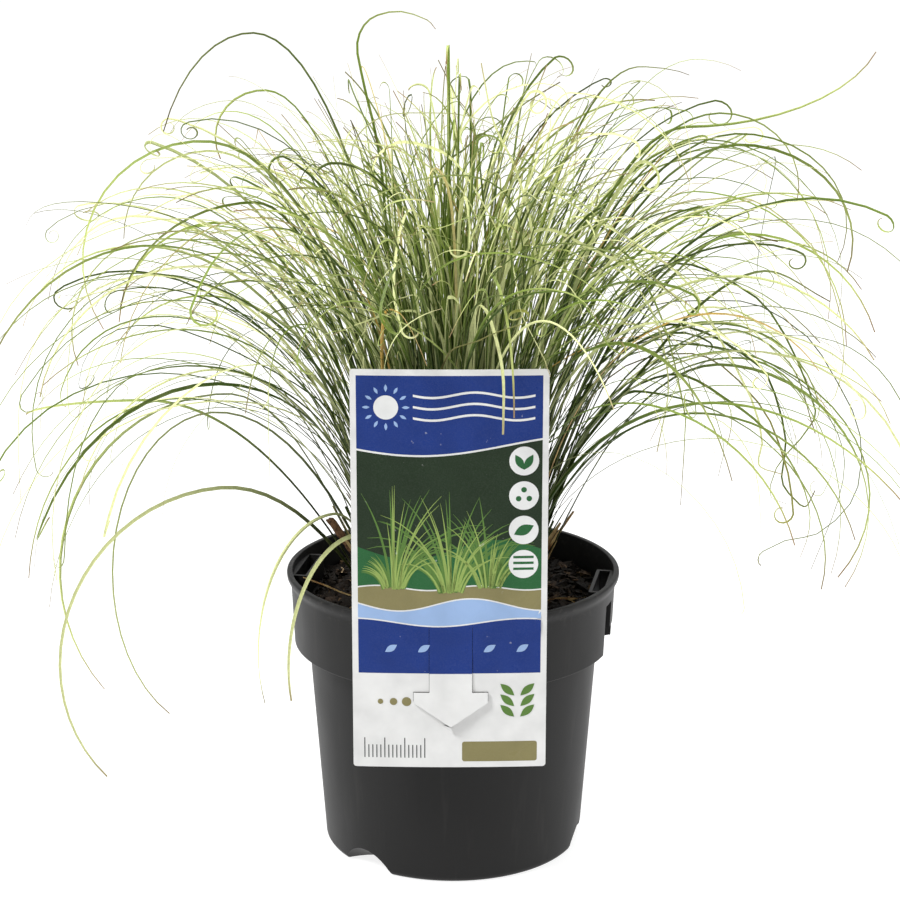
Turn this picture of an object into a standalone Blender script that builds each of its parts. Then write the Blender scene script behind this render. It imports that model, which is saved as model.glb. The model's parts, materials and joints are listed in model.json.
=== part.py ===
"""Sedge with hair-fine arching leaves, in a round nursery pot with a plant label.

Metres, +Z up. The origin is the centre of the pot's underside and the label is on the -Y side.
An azimuth is in degrees round +Z, from 0 at +X to 90 at +Y.
"""
import math
import random
from typing import NamedTuple

import bmesh
import bpy
from mathutils import Vector, kdtree

# Pot: a tapering body under a wider collar that ends in a rolled lip
POT_HEIGHT = 0.120
LIP_RADIUS = 0.070
LIP_HEIGHT = 0.003
COLLAR_TOP_RADIUS = 0.0688
COLLAR_FOOT_RADIUS = 0.0677
COLLAR_FOOT = 0.0862
STEP_HEIGHT = 0.0014
BODY_TOP_RADIUS = 0.0609
BASE_RADIUS = 0.0545
WALL = 0.0014
BASE_THICKNESS = 0.0016
POT_STEPS = 48
GAP = 0.0003

# Pot foot: sloping scoops in the bottom edge, each with a drain hole in its roof
SCOOP_AZIMUTHS = (-132, -12, 108)
SCOOP_RADIUS = 0.0175
SCOOP_RISE = 0.0085
SCOOP_SLOPE = math.radians(30)
SCOOP_LENGTH = 0.060
SCOOP_SIDES = 24
DRAIN_RADIUS = 0.0035
DRAIN_PLACE = 0.0462
DRAIN_LENGTH = 0.030
DRAIN_SIDES = 16

# Label pockets: a flat wall behind a through slot, and a tongue that hangs from the lip
POCKET_AZIMUTHS = (-10, 80, 170, 260)
POCKET_WALL = 0.0606
POCKET_FOOT = 0.0822
POCKET_TOP = 0.117
SLOT_DEPTH = 0.0039
SLOT_HALF_WIDTH = 0.0136
SLOT_FOOT = 0.079
WINDOW_FOOT = 0.080
WINDOW_TOP = 0.112
TONGUE_HALF_WIDTH = 0.005
TONGUE_FOOT = 0.092

# Potting mix
MIX_TOP = 0.108
MIX_TOP_RADIUS = 0.0667
CHIP_COUNT = 14
CHIP_SIZE = (0.0095, 0.0055, 0.0030)

# Crown: the packed leaf bases that stand in a plain hole in the mix
CROWN_RADIUS = 0.039
CROWN_FOOT = 0.0968
CROWN_TOP = 0.134
CROWN_TAPER = 0.72
CROWN_INNER = 0.0012
ROOT_HEIGHT = 0.106

# Leaves: grown in short steps inside the plant's form, and clear of the pot and of the view of the label
TUFTS = 10
LEAVES_PER_TUFT = 28
SEED = 41
LEAF_WIDTH = 0.0016
LEAF_DEPTH = 0.0010
TIP_SHARE = 0.55
GROW_STEPS = 44
LEAF_SEGMENTS = 6
LONG_LEAF_SEGMENTS = 8
LEAF_SPACE = 0.0028
DRAWS = 150
SIDE_CLEARANCE = 0.0013
REACH = 0.178
CEILING = 0.329
SHOULDER = 0.080
SHOULDER_SLOPE = 0.38
FLOOR_LEFT = 0.080
FLOOR_RIGHT = 0.110
FLOOR_SLOPE = 0.30
RIM_SPACE = 0.0035
LABEL_SPACE = 0.003
VIEW_SLOPE = 0.28

# Label: an upright card in front of the rim, with a strip folded back into a pocket
CARD_LEFT = -0.040
CARD_RIGHT = 0.037
CARD_FOOT = 0.0585
CARD_TOP = 0.2225
CARD_FRONT = -0.0709
CARD_THICKNESS = 0.0006
CARD_CORNER = 0.0012
ARROW_CENTRE = -0.0010
ARROW_TOP = 0.118
ARROW_SHOULDER = 0.0905
ARROW_TIP = 0.0765
ARROW_STEM = 0.0085
ARROW_HEAD = 0.0148
DIE_CUT = 0.0006
STRIP_CENTRE = -0.0111
STRIP_HALF_WIDTH = 0.006
STRIP_PLACE = -0.0630
STRIP_FOOT = 0.098

# Colours, linear, with roughness
POT_COLOUR = (0.045, 0.043, 0.043)
MIX_COLOUR = (0.022, 0.014, 0.009)
CARD_COLOUR = (0.80, 0.80, 0.79)
LEAF_COLOURS = ((0.20, 0.32, 0.09), (0.15, 0.26, 0.07), (0.26, 0.37, 0.12))


class Leaf(NamedTuple):
    """One arched leaf: where it rises, the top of its arch, and how its tip hangs."""
    azimuth: float
    root_radius: float
    apex_radius: float
    apex_height: float
    fall_reach: float
    fall_drop: float
    turn: float


class Habit(NamedTuple):
    """A kind of leaf that rises, droops and swings as it grows, as ranges for a seeded draw.

    The angles are in degrees: rise above the horizon at the root, and droop from there to the tip. The
    droop gathers towards the tip by its power. Count is its share of the leaves.
    """
    count: int
    root: tuple
    rise: tuple
    length: tuple
    droop: tuple
    power: tuple
    swing: float
    wave: float


HABITS = (
    Habit(17, (0.003, 0.028), (79, 95), (0.19, 0.27), (10, 100), (2.0, 4.0), 8, 3),
    Habit(7, (0.010, 0.032), (74, 88), (0.22, 0.34), (95, 165), (1.6, 2.6), 10, 4),
    Habit(5, (0.018, 0.034), (72, 86), (0.22, 0.33), (110, 165), (1.2, 1.8), 10, 4),
)

# The long leaves that make the outline
LONG_LEAVES = (
    Leaf(184, 0.012, 0.101, 0.301, 0.049, 0.050, 122),
    Leaf(176, 0.020, 0.119, 0.276, 0.050, 0.053, 80),
    Leaf(190, 0.018, 0.113, 0.267, 0.042, 0.041, 108),
    Leaf(178, 0.010, 0.080, 0.343, 0.042, 0.075, 62),
    Leaf(172, 0.015, 0.077, 0.319, 0.021, 0.020, 115),
    Leaf(262, 0.010, 0.015, 0.340, 0.004, 0.006, 100),
    Leaf(276, 0.012, 0.024, 0.330, 0.004, 0.006, 90),
    Leaf(3, 0.020, 0.095, 0.305, 0.078, -0.040, 75),
    Leaf(355, 0.018, 0.115, 0.300, 0.046, 0.040, 106),
    Leaf(6, 0.022, 0.101, 0.298, 0.057, 0.066, 98),
    Leaf(350, 0.025, 0.120, 0.266, 0.054, 0.058, 70),
    Leaf(348, 0.030, 0.097, 0.221, 0.075, 0.062, 122),
    Leaf(340, 0.032, 0.080, 0.203, 0.078, 0.064, 100),
    Leaf(346, 0.033, 0.112, 0.214, 0.060, 0.060, 120),
    Leaf(183, 0.034, 0.128, 0.194, 0.048, 0.006, 85),
    Leaf(187, 0.034, 0.094, 0.198, 0.070, 0.077, 130),
    Leaf(197, 0.034, 0.099, 0.163, 0.068, 0.072, 132),
    Leaf(193, 0.030, 0.100, 0.193, 0.043, 0.069, 150),
    Leaf(222, 0.030, 0.055, 0.145, 0.034, 0.050, 105),
    Leaf(208, 0.030, 0.056, 0.151, 0.034, 0.056, 112),
    Leaf(286, 0.020, 0.052, 0.256, 0.032, 0.050, 90),
)

# A dead, woody shoot base that leans out of the crown
STUB_FOOT = Vector((-0.0330, 0.0120, 0.1090))
STUB_TOP = Vector((-0.0525, 0.0190, 0.1345))
STUB_RADIUS = 0.0016


def blend(start, end, share):
    """The value that lies at share of the way from start to end."""
    return start + (end - start) * share


def round_z(azimuth, radius, height):
    """A point by its azimuth in degrees, its radius and its height."""
    turn = math.radians(azimuth)
    return Vector((radius * math.cos(turn), radius * math.sin(turn), height))


def angle_between(first, second):
    """The signed turn in degrees from the second azimuth to the first, within half a circle."""
    return (first - second + 180) % 360 - 180


def clear_scene():
    """Remove every object, so that the script can run in an open file."""
    for thing in list(bpy.data.objects):
        bpy.data.objects.remove(thing, do_unlink=True)


def new_collection(name):
    """Make a collection in the scene."""
    group = bpy.data.collections.new(name)
    bpy.context.scene.collection.children.link(group)
    return group


def principled(name, colour, roughness):
    """Make a plain Principled material."""
    material = bpy.data.materials.new(name)
    material.use_nodes = True
    shader = material.node_tree.nodes["Principled BSDF"]
    shader.inputs["Base Color"].default_value = (*colour, 1.0)
    shader.inputs["Roughness"].default_value = roughness
    shader.inputs["Metallic"].default_value = 0.0
    return material


def add_object(name, data, group, material=None):
    """Put mesh or curve data in an object of the collection."""
    thing = bpy.data.objects.new(name, data)
    group.objects.link(thing)
    if material is not None:
        data.materials.append(material)
    return thing


def as_cutter(thing):
    """Mark an object as a guide that is neither shown nor built."""
    thing.hide_render = True
    thing.display_type = "WIRE"
    return thing


def freeze(thing):
    """Replace an object's mesh or curve with its evaluated mesh, in world space."""
    bpy.context.view_layer.update()
    graph = bpy.context.evaluated_depsgraph_get()
    mesh = bpy.data.meshes.new_from_object(thing.evaluated_get(graph))
    mesh.transform(thing.matrix_world)
    shape = bmesh.new()
    shape.from_mesh(mesh)
    bmesh.ops.remove_doubles(shape, verts=shape.verts, dist=0.000002)
    bmesh.ops.recalc_face_normals(shape, faces=shape.faces)
    shape.to_mesh(mesh)
    shape.free()
    name = thing.name
    groups = list(thing.users_collection)
    bpy.data.objects.remove(thing, do_unlink=True)
    solid = bpy.data.objects.new(name, mesh)
    for group in groups:
        group.objects.link(solid)
    return solid


def turned(name, profile, group, steps=POT_STEPS, material=None):
    """Turn a profile of (radius, height) points about Z. It runs from the top down its outer side."""
    mesh = bpy.data.meshes.new(name)
    edges = [(i, i + 1) for i in range(len(profile) - 1)]
    mesh.from_pydata([(radius, 0.0, height) for radius, height in profile], edges, [])
    thing = add_object(name, mesh, group, material)
    screw = thing.modifiers.new("turn", "SCREW")
    screw.steps = steps
    screw.render_steps = steps
    screw.use_merge_vertices = True
    screw.merge_threshold = 0.00001
    screw.use_smooth_shade = False
    weld = thing.modifiers.new("poles", "WELD")
    weld.merge_threshold = 0.00001
    return thing


def boolean(thing, operation, operand, solver="EXACT"):
    """Give an object a Boolean with another object, or with a whole collection."""
    cut = thing.modifiers.new(operation.lower(), "BOOLEAN")
    cut.operation = operation
    cut.solver = solver
    if isinstance(operand, bpy.types.Collection):
        cut.operand_type = "COLLECTION"
        cut.collection = operand
    else:
        cut.object = operand


def box(name, low, high, azimuth, group):
    """A cutting box between two corners, turned about Z to an azimuth."""
    bpy.ops.mesh.primitive_cube_add(size=1.0)
    thing = bpy.context.active_object
    thing.name = name
    size = Vector(high) - Vector(low)
    middle = (Vector(high) + Vector(low)) / 2
    for vert in thing.data.vertices:
        vert.co = Vector([vert.co[i] * size[i] + middle[i] for i in range(3)])
    thing.rotation_euler.z = math.radians(azimuth)
    move_to(thing, group)
    return as_cutter(thing)


def move_to(thing, group):
    """Keep an object in one collection only."""
    for other in list(thing.users_collection):
        other.objects.unlink(thing)
    group.objects.link(thing)


def outline_solid(name, points, low, high, group):
    """A flat outline in XY, filled and extruded from low to high along Z."""
    curve = bpy.data.curves.new(name, "CURVE")
    curve.dimensions = "2D"
    curve.fill_mode = "BOTH"
    curve.extrude = (high - low) / 2
    spline = curve.splines.new("POLY")
    spline.points.add(len(points) - 1)
    for point, (x, y) in zip(spline.points, points):
        point.co = (x, y, 0.0, 1.0)
    spline.use_cyclic_u = True
    thing = add_object(name, curve, group)
    thing.location.z = (high + low) / 2
    return thing


# Pot

def pot_outside():
    """Outer profile of the pot, as (radius, height)."""
    return (
        (0.0, POT_HEIGHT),
        (LIP_RADIUS - 0.0006, POT_HEIGHT),
        (LIP_RADIUS, POT_HEIGHT - 0.0008),
        (LIP_RADIUS, POT_HEIGHT - LIP_HEIGHT + 0.0006),
        (COLLAR_TOP_RADIUS, POT_HEIGHT - LIP_HEIGHT - 0.0002),
        (COLLAR_FOOT_RADIUS, COLLAR_FOOT),
        (COLLAR_FOOT_RADIUS - 0.0005, COLLAR_FOOT - 0.0005),
        (BODY_TOP_RADIUS, COLLAR_FOOT - STEP_HEIGHT),
        (BASE_RADIUS + 0.0004, 0.0065),
        (BASE_RADIUS - 0.0006, 0.0028),
        (BASE_RADIUS - 0.0022, 0.0008),
        (BASE_RADIUS - 0.0048, 0.0),
        (0.0, 0.0),
    )


def pot_inside(gap=0.0, top=POT_HEIGHT + 0.002, top_radius=LIP_RADIUS - 0.0024):
    """Profile of the pot's hollow, drawn in by a gap for what fills it."""
    collar = COLLAR_FOOT_RADIUS - WALL
    body = BODY_TOP_RADIUS - WALL
    return (
        (0.0, top),
        (top_radius, top),
        (collar - gap, COLLAR_FOOT + 0.0008 + gap),
        (collar - 0.0004 - gap, COLLAR_FOOT + 0.0003 + gap),
        (body - gap, COLLAR_FOOT - STEP_HEIGHT + 0.0013 + gap),
        (BASE_RADIUS - 0.0010 - gap, 0.0070),
        (BASE_RADIUS - 0.0022 - gap, 0.0038 + gap),
        (BASE_RADIUS - 0.0052 - gap, BASE_THICKNESS + gap),
        (0.0, BASE_THICKNESS + gap),
    )


def scoop(azimuth, grow, group):
    """A round bar that slopes down and inwards under the pot's edge, and cuts one scoop."""
    centre = SCOOP_RISE - SCOOP_RADIUS / math.cos(SCOOP_SLOPE)
    bpy.ops.mesh.primitive_cylinder_add(vertices=SCOOP_SIDES, radius=SCOOP_RADIUS + grow, depth=SCOOP_LENGTH)
    thing = bpy.context.active_object
    thing.name = f"scoop_{azimuth % 360}_{round(grow * 10000)}"
    thing.rotation_euler = (0.0, math.pi / 2 - SCOOP_SLOPE, math.radians(azimuth))
    thing.location = round_z(azimuth, BASE_RADIUS, centre)
    move_to(thing, group)
    return as_cutter(thing)


def drain(azimuth, group):
    """An upright bar through the roof of a scoop."""
    bpy.ops.mesh.primitive_cylinder_add(vertices=DRAIN_SIDES, radius=DRAIN_RADIUS, depth=DRAIN_LENGTH)
    thing = bpy.context.active_object
    thing.name = f"drain_{azimuth % 360}"
    thing.location = round_z(azimuth, DRAIN_PLACE, 0.0)
    move_to(thing, group)
    return as_cutter(thing)


def pocket_back(azimuth, gap, group):
    """The block of the collar that a pocket keeps solid, from its flat wall outwards."""
    half = SLOT_HALF_WIDTH + WALL + gap
    low = (POCKET_WALL - gap, -half, POCKET_FOOT)
    high = (LIP_RADIUS + 0.005, half, POCKET_TOP + gap)
    return box(f"pocket_back_{azimuth % 360}_{round(gap * 10000)}", low, high, azimuth, group)


def pocket_cuts(azimuth, group):
    """The slot behind the lip, and the window round the tongue."""
    slot = POCKET_WALL + WALL
    outer = slot + SLOT_DEPTH
    name = azimuth % 360
    box(f"slot_{name}", (slot, -SLOT_HALF_WIDTH, SLOT_FOOT), (outer, SLOT_HALF_WIDTH, POCKET_TOP + 0.001),
        azimuth, group)
    wide = SLOT_HALF_WIDTH - GAP
    points = ((-wide, WINDOW_FOOT), (wide, WINDOW_FOOT), (wide, WINDOW_TOP), (TONGUE_HALF_WIDTH, WINDOW_TOP),
              (TONGUE_HALF_WIDTH, TONGUE_FOOT), (-TONGUE_HALF_WIDTH, TONGUE_FOOT),
              (-TONGUE_HALF_WIDTH, WINDOW_TOP), (-wide, WINDOW_TOP))
    window = outline_solid(f"window_{name}", points, -0.005, 0.005, group)
    window.rotation_euler = (math.pi / 2, 0.0, math.radians(azimuth) + math.pi / 2)
    window.location = round_z(azimuth, outer + 0.004, 0.0)
    as_cutter(freeze(window))


def make_pot(parts, guides):
    """The pot: the turned outside, less its hollow, its scoops, its drains and its pockets."""
    kept = new_collection("pot_kept")
    for azimuth in POCKET_AZIMUTHS:
        pocket_back(azimuth, 0.0, kept)
    for azimuth in SCOOP_AZIMUTHS:
        scoop(azimuth, WALL, kept)
    hollow = as_cutter(turned("pot_hollow", pot_inside(), guides))
    boolean(hollow, "DIFFERENCE", kept)

    cuts = new_collection("pot_cuts")
    for azimuth in POCKET_AZIMUTHS:
        pocket_cuts(azimuth, cuts)
    for azimuth in SCOOP_AZIMUTHS:
        scoop(azimuth, 0.0, cuts)
        drain(azimuth, cuts)

    pot = turned("pot", pot_outside(), parts, material=principled("pot plastic", POT_COLOUR, 0.55))
    boolean(pot, "DIFFERENCE", hollow)
    boolean(pot, "DIFFERENCE", cuts)
    weld = pot.modifiers.new("seams", "WELD")
    weld.merge_threshold = 0.00002
    return pot


# Potting mix

def bark_chips(group):
    """Coarse bark chips that lie half sunk in the top of the mix."""
    draw = random.Random(SEED)
    for index in range(CHIP_COUNT):
        azimuth = 360 * (index + draw.uniform(0.2, 0.8)) / CHIP_COUNT
        radius = draw.uniform(CROWN_RADIUS + 0.008, MIX_TOP_RADIUS - 0.013)
        bpy.ops.mesh.primitive_cube_add(size=1.0)
        chip = bpy.context.active_object
        chip.name = f"chip_{index}"
        chip.scale = [size * draw.uniform(0.75, 1.2) for size in CHIP_SIZE]
        chip.rotation_euler = (draw.uniform(-0.3, 0.3), draw.uniform(-0.3, 0.3), draw.uniform(0, math.pi))
        chip.location = round_z(azimuth, radius, MIX_TOP)
        move_to(chip, group)


def make_mix(parts):
    """The potting mix: it fills the pot, and has a round hole for the crown."""
    holes = new_collection("mix_holes")
    for azimuth in POCKET_AZIMUTHS:
        pocket_back(azimuth, GAP, holes)
    for azimuth in SCOOP_AZIMUTHS:
        scoop(azimuth, WALL + GAP, holes)
    depth = POT_HEIGHT
    bpy.ops.mesh.primitive_cylinder_add(vertices=TUFTS * 4, radius=CROWN_RADIUS + GAP, depth=depth,
                                        location=(0.0, 0.0, CROWN_FOOT - GAP + depth / 2))
    hole = bpy.context.active_object
    hole.name = "crown_hole"
    hole.rotation_euler.z = math.radians(180 / TUFTS)
    move_to(hole, holes)
    as_cutter(hole)

    chips = new_collection("bark_chips")
    bark_chips(chips)
    soil = turned("potting_mix", pot_inside(GAP, MIX_TOP, MIX_TOP_RADIUS), parts,
                  material=principled("potting mix", MIX_COLOUR, 0.95))
    boolean(soil, "UNION", chips)
    boolean(soil, "DIFFERENCE", holes)
    material = soil.data.materials[0]
    solid = freeze(soil)
    solid.data.materials.clear()
    solid.data.materials.append(material)
    remove_group(chips)
    return solid


def remove_group(group):
    """Remove a collection with its objects."""
    for thing in list(group.objects):
        bpy.data.objects.remove(thing, do_unlink=True)
    bpy.data.collections.remove(group)


# Leaves

def long_line(leaf, steps=48):
    """The midrib of an arched leaf, from root to tip."""
    lean = 0.25 + 0.6 * leaf.root_radius / CROWN_RADIUS
    points = []
    for step in range(steps):
        share = step / steps
        out = (1 - lean) * (1 - math.cos(share * math.pi / 2)) + lean * share
        height = blend(ROOT_HEIGHT, leaf.apex_height, math.sin(share * math.pi / 2))
        points.append(round_z(leaf.azimuth, blend(leaf.root_radius, leaf.apex_radius, out), height))
    for step in range(steps + 1):
        angle = math.radians(leaf.turn) * step / steps
        points.append(round_z(leaf.azimuth, leaf.apex_radius + leaf.fall_reach * math.sin(angle),
                              leaf.apex_height - leaf.fall_drop * (1 - math.cos(angle))))
    return points


def grown_line(draw, habit, centre):
    """The midrib of a drawn leaf, grown from its root in short steps."""
    azimuth = centre + draw.uniform(-0.5, 0.5) * 360 / TUFTS
    root = math.sqrt(draw.uniform(habit.root[0] ** 2, habit.root[1] ** 2))
    rise = draw.uniform(*habit.rise)
    droop = draw.uniform(*habit.droop)
    power = draw.uniform(*habit.power)
    length = draw.uniform(*habit.length)
    swing = draw.gauss(0, habit.swing)
    wave = draw.uniform(0, habit.wave)
    waves = 2 * math.pi * draw.uniform(0.8, 2.2)
    phase = draw.uniform(0, 2 * math.pi)
    point = round_z(azimuth, root, ROOT_HEIGHT)
    line = [point]
    for step in range(GROW_STEPS):
        share = (step + 0.5) / GROW_STEPS
        climb = math.radians(rise - droop * share ** power + 0.6 * wave * math.cos(waves * share + phase))
        heading = azimuth + 2 * swing * share ** 1.5 + wave * share * math.sin(waves * share + phase)
        point = point + round_z(heading, math.cos(climb), math.sin(climb)) * (length / GROW_STEPS)
        line.append(point)
    return line


def even(line, count, bend_length=0.030):
    """A line again with count segments that share its length and its bends alike."""
    travelled = [0.0]
    heading = None
    for start, end in zip(line, line[1:]):
        ahead = end - start
        bend = 0.0 if heading is None else heading.angle(ahead, 0.0)
        heading = ahead
        travelled.append(travelled[-1] + ahead.length + bend_length * bend)
    points = []
    segment = 0
    for index in range(count + 1):
        wanted = travelled[-1] * index / count
        while segment < len(line) - 2 and travelled[segment + 1] < wanted:
            segment += 1
        part = (wanted - travelled[segment]) / max(1e-9, travelled[segment + 1] - travelled[segment])
        points.append(line[segment].lerp(line[segment + 1], min(1.0, part)))
    return points


def in_sector(line, centre):
    """A line kept inside its tuft's sector, clear of the next tuft's."""
    kept = []
    for point in line:
        radius = max(1e-6, math.hypot(point.x, point.y))
        free = 180 / TUFTS - math.degrees(math.asin(min(1.0, SIDE_CLEARANCE / radius)))
        own = angle_between(math.degrees(math.atan2(point.y, point.x)), centre)
        kept.append(round_z(centre + max(-free, min(free, own)), radius, point.z))
    return kept


def along(line, spacing=0.0022):
    """Close points along a line, for measuring what it passes."""
    points = []
    for start, end in zip(line, line[1:]):
        count = max(2, math.ceil((end - start).length / spacing))
        points.extend(start.lerp(end, step / count) for step in range(count))
    points.append(line[-1])
    return points


def in_form(point, radius):
    """Whether a point lies inside the plant's form: its reach, its domed top and its open underside."""
    ceiling = CEILING - SHOULDER_SLOPE * max(0.0, radius - SHOULDER)
    floor = (FLOOR_LEFT if point.x < 0 else FLOOR_RIGHT) - FLOOR_SLOPE * point.y
    if max(abs(point.x), abs(point.y)) > REACH or point.z > ceiling:
        return False
    return radius <= CROWN_RADIUS or point.z >= floor


def hides_label(point):
    """Whether a point touches the label, or stands before it as it is seen from a little above."""
    ahead = CARD_FRONT - point.y
    beside = CARD_LEFT - LABEL_SPACE < point.x < CARD_RIGHT + LABEL_SPACE
    return beside and ahead > -RIM_SPACE and point.z < CARD_TOP + LABEL_SPACE + VIEW_SLOPE * max(0.0, ahead)


def is_clear(points):
    """Whether a leaf keeps off the pot, the label and the view of it, and inside the plant's form."""
    for point in points:
        radius = math.hypot(point.x, point.y)
        over_rim = CROWN_RADIUS - 0.001 < radius < LIP_RADIUS + RIM_SPACE
        if over_rim and point.z < POT_HEIGHT + 0.0025:
            return False
        if not in_form(point, radius) or hides_label(point):
            return False
    return True


def nearness(points, placed):
    """How near a leaf comes to those already in its tuft, above the crown."""
    if not placed:
        return LEAF_SPACE
    tree = kdtree.KDTree(len(placed))
    for index, point in enumerate(placed):
        tree.insert(point, index)
    tree.balance()
    return min((tree.find(point)[2] for point in points if point.z > CROWN_TOP), default=0.0)


def roomy_line(draw, habit, centre, placed):
    """A leaf drawn again until it lies clear, or the roomiest of many draws."""
    best = None
    for attempt in range(20 * DRAWS):
        if best and attempt >= DRAWS:
            break
        line = even(in_sector(grown_line(draw, habit, centre), centre), LEAF_SEGMENTS)
        points = along(line)
        if not is_clear(points):
            continue
        space = nearness(points, placed)
        if best is None or space > best[0]:
            best = (space, line)
        if space >= LEAF_SPACE:
            break
    return best[1]


def tuft_lines(index):
    """The line of every leaf of one tuft: the long ones of its sector, then drawn ones."""
    centre = index * 360 / TUFTS + 90 % (360 / TUFTS)
    draw = random.Random(SEED + index)
    lines = [even(in_sector(long_line(leaf), centre), LONG_LEAF_SEGMENTS) for leaf in LONG_LEAVES
             if abs(angle_between(leaf.azimuth, centre)) <= 180 / TUFTS]
    placed = [point for line in lines for point in along(line)]
    wanted = LEAVES_PER_TUFT - len(lines)
    habits = [habit for habit in HABITS for _ in range(habit.count)]
    for order in range(wanted):
        line = roomy_line(draw, habits[order * len(habits) // wanted], centre, placed)
        placed.extend(along(line))
        lines.append(line)
    return centre, lines


def leaf_mesh(name, line):
    """A keeled leaf along a line: a three-sided section that narrows to a point."""
    shape = bmesh.new()
    rings = []
    for index, point in enumerate(line[:-1]):
        ahead = line[index + 1] - line[max(index - 1, 0)]
        ahead.normalize()
        outward = Vector((point.x, point.y, 0.0)).normalized()
        side = Vector((-outward.y, outward.x, 0.0))
        side = (side - ahead * side.dot(ahead)).normalized()
        under = side.cross(ahead)
        share = index / (len(line) - 1)
        width = LEAF_WIDTH * blend(1.0, TIP_SHARE, share ** 3) / 2
        depth = LEAF_DEPTH * blend(1.0, 0.75, share)
        rings.append([shape.verts.new(point + side * width),
                      shape.verts.new(point - side * width),
                      shape.verts.new(point + under * depth)])
    tip = shape.verts.new(line[-1])
    shape.faces.new(rings[0])
    for lower, upper in zip(rings, rings[1:]):
        for corner in range(3):
            following = (corner + 1) % 3
            shape.faces.new((lower[corner], lower[following], upper[following], upper[corner]))
    for corner in range(3):
        shape.faces.new((rings[-1][corner], rings[-1][(corner + 1) % 3], tip))
    bmesh.ops.triangulate(shape, faces=shape.faces)
    bmesh.ops.recalc_face_normals(shape, faces=shape.faces)
    mesh = bpy.data.meshes.new(name)
    shape.to_mesh(mesh)
    shape.free()
    return mesh


def crown_wedge(name, centre, group):
    """The crown under one tuft: a sector of a disc, clear of its neighbours."""
    half = math.radians(180 / TUFTS)
    spare = GAP / 2
    inner = CROWN_INNER + spare / math.sin(half)
    limit = half - math.asin(spare / CROWN_RADIUS)
    points = [round_z(centre, inner, 0.0).to_2d()]
    for step in range(5):
        turn = max(-limit, min(limit, blend(-half, half, step / 4)))
        points.append(round_z(centre + math.degrees(turn), CROWN_RADIUS, 0.0).to_2d())
    wedge = freeze(outline_solid(name, points, CROWN_FOOT, CROWN_TOP, group))
    middle = round_z(centre, CROWN_RADIUS / 2, 0.0)
    for vert in wedge.data.vertices:
        if vert.co.z > (CROWN_FOOT + CROWN_TOP) / 2:
            vert.co.x = blend(middle.x, vert.co.x, CROWN_TAPER)
            vert.co.y = blend(middle.y, vert.co.y, CROWN_TAPER)
    return wedge


def stub(group):
    """The dead shoot base, a short bar from the crown."""
    axis = STUB_TOP - STUB_FOOT
    bpy.ops.mesh.primitive_cylinder_add(vertices=7, radius=STUB_RADIUS, depth=axis.length)
    thing = bpy.context.active_object
    thing.name = "stub"
    thing.rotation_euler = axis.to_track_quat("Z", "Y").to_euler()
    thing.location = (STUB_FOOT + STUB_TOP) / 2
    move_to(thing, group)


def make_tuft(index, parts, material):
    """One tuft: its sector of the crown, with every leaf joined to it."""
    centre, lines = tuft_lines(index)
    name = f"tuft_{index + 1:02d}"
    loose = new_collection(f"{name}_leaves")
    for order, line in enumerate(lines):
        add_object(f"{name}_leaf_{order}", leaf_mesh(f"{name}_leaf_{order}", line), loose)
    lean = math.degrees(math.atan2(STUB_TOP.y, STUB_TOP.x))
    if abs(angle_between(lean, centre)) <= 180 / TUFTS:
        stub(loose)
    crown = crown_wedge(name, centre, parts)
    boolean(crown, "UNION", loose, solver="MANIFOLD")
    tuft = freeze(crown)
    remove_group(loose)
    tuft.name = name
    tuft.data.materials.clear()
    tuft.data.materials.append(material)
    return tuft


# Label

def upright(thing):
    """Stand a flat solid up, so that its outline lies in XZ and its thickness runs along +Y."""
    thing.rotation_euler.x = math.pi / 2
    thing.location = (0.0, thing.location.z, 0.0)
    return thing


def rounded_card():
    """The card's outline with small round corners, as (x, z)."""
    points = []
    corners = ((CARD_RIGHT, CARD_TOP, 0), (CARD_LEFT, CARD_TOP, 90),
               (CARD_LEFT, CARD_FOOT, 180), (CARD_RIGHT, CARD_FOOT, 270))
    for x, z, turn in corners:
        inward_x = -1 if x > 0 else 1
        inward_z = -1 if z == CARD_TOP else 1
        for step in range(3):
            angle = math.radians(turn + 45 * step)
            points.append((x + inward_x * CARD_CORNER + CARD_CORNER * math.cos(angle),
                           z + inward_z * CARD_CORNER + CARD_CORNER * math.sin(angle)))
    return points


def arrow_outline(grow):
    """The tab's outline, a stem over an arrow head, as (x, z), with its sides moved out by grow."""
    stem = ARROW_STEM + grow
    head = ARROW_HEAD + grow
    shoulder = ARROW_SHOULDER + grow
    return [(ARROW_CENTRE + x, z) for x, z in (
        (-stem, ARROW_TOP), (-stem, shoulder), (-head, shoulder), (-head, ARROW_SHOULDER - 0.004),
        (0.0, ARROW_TIP - grow), (head, ARROW_SHOULDER - 0.004), (head, shoulder), (stem, shoulder),
        (stem, ARROW_TOP))]


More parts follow.
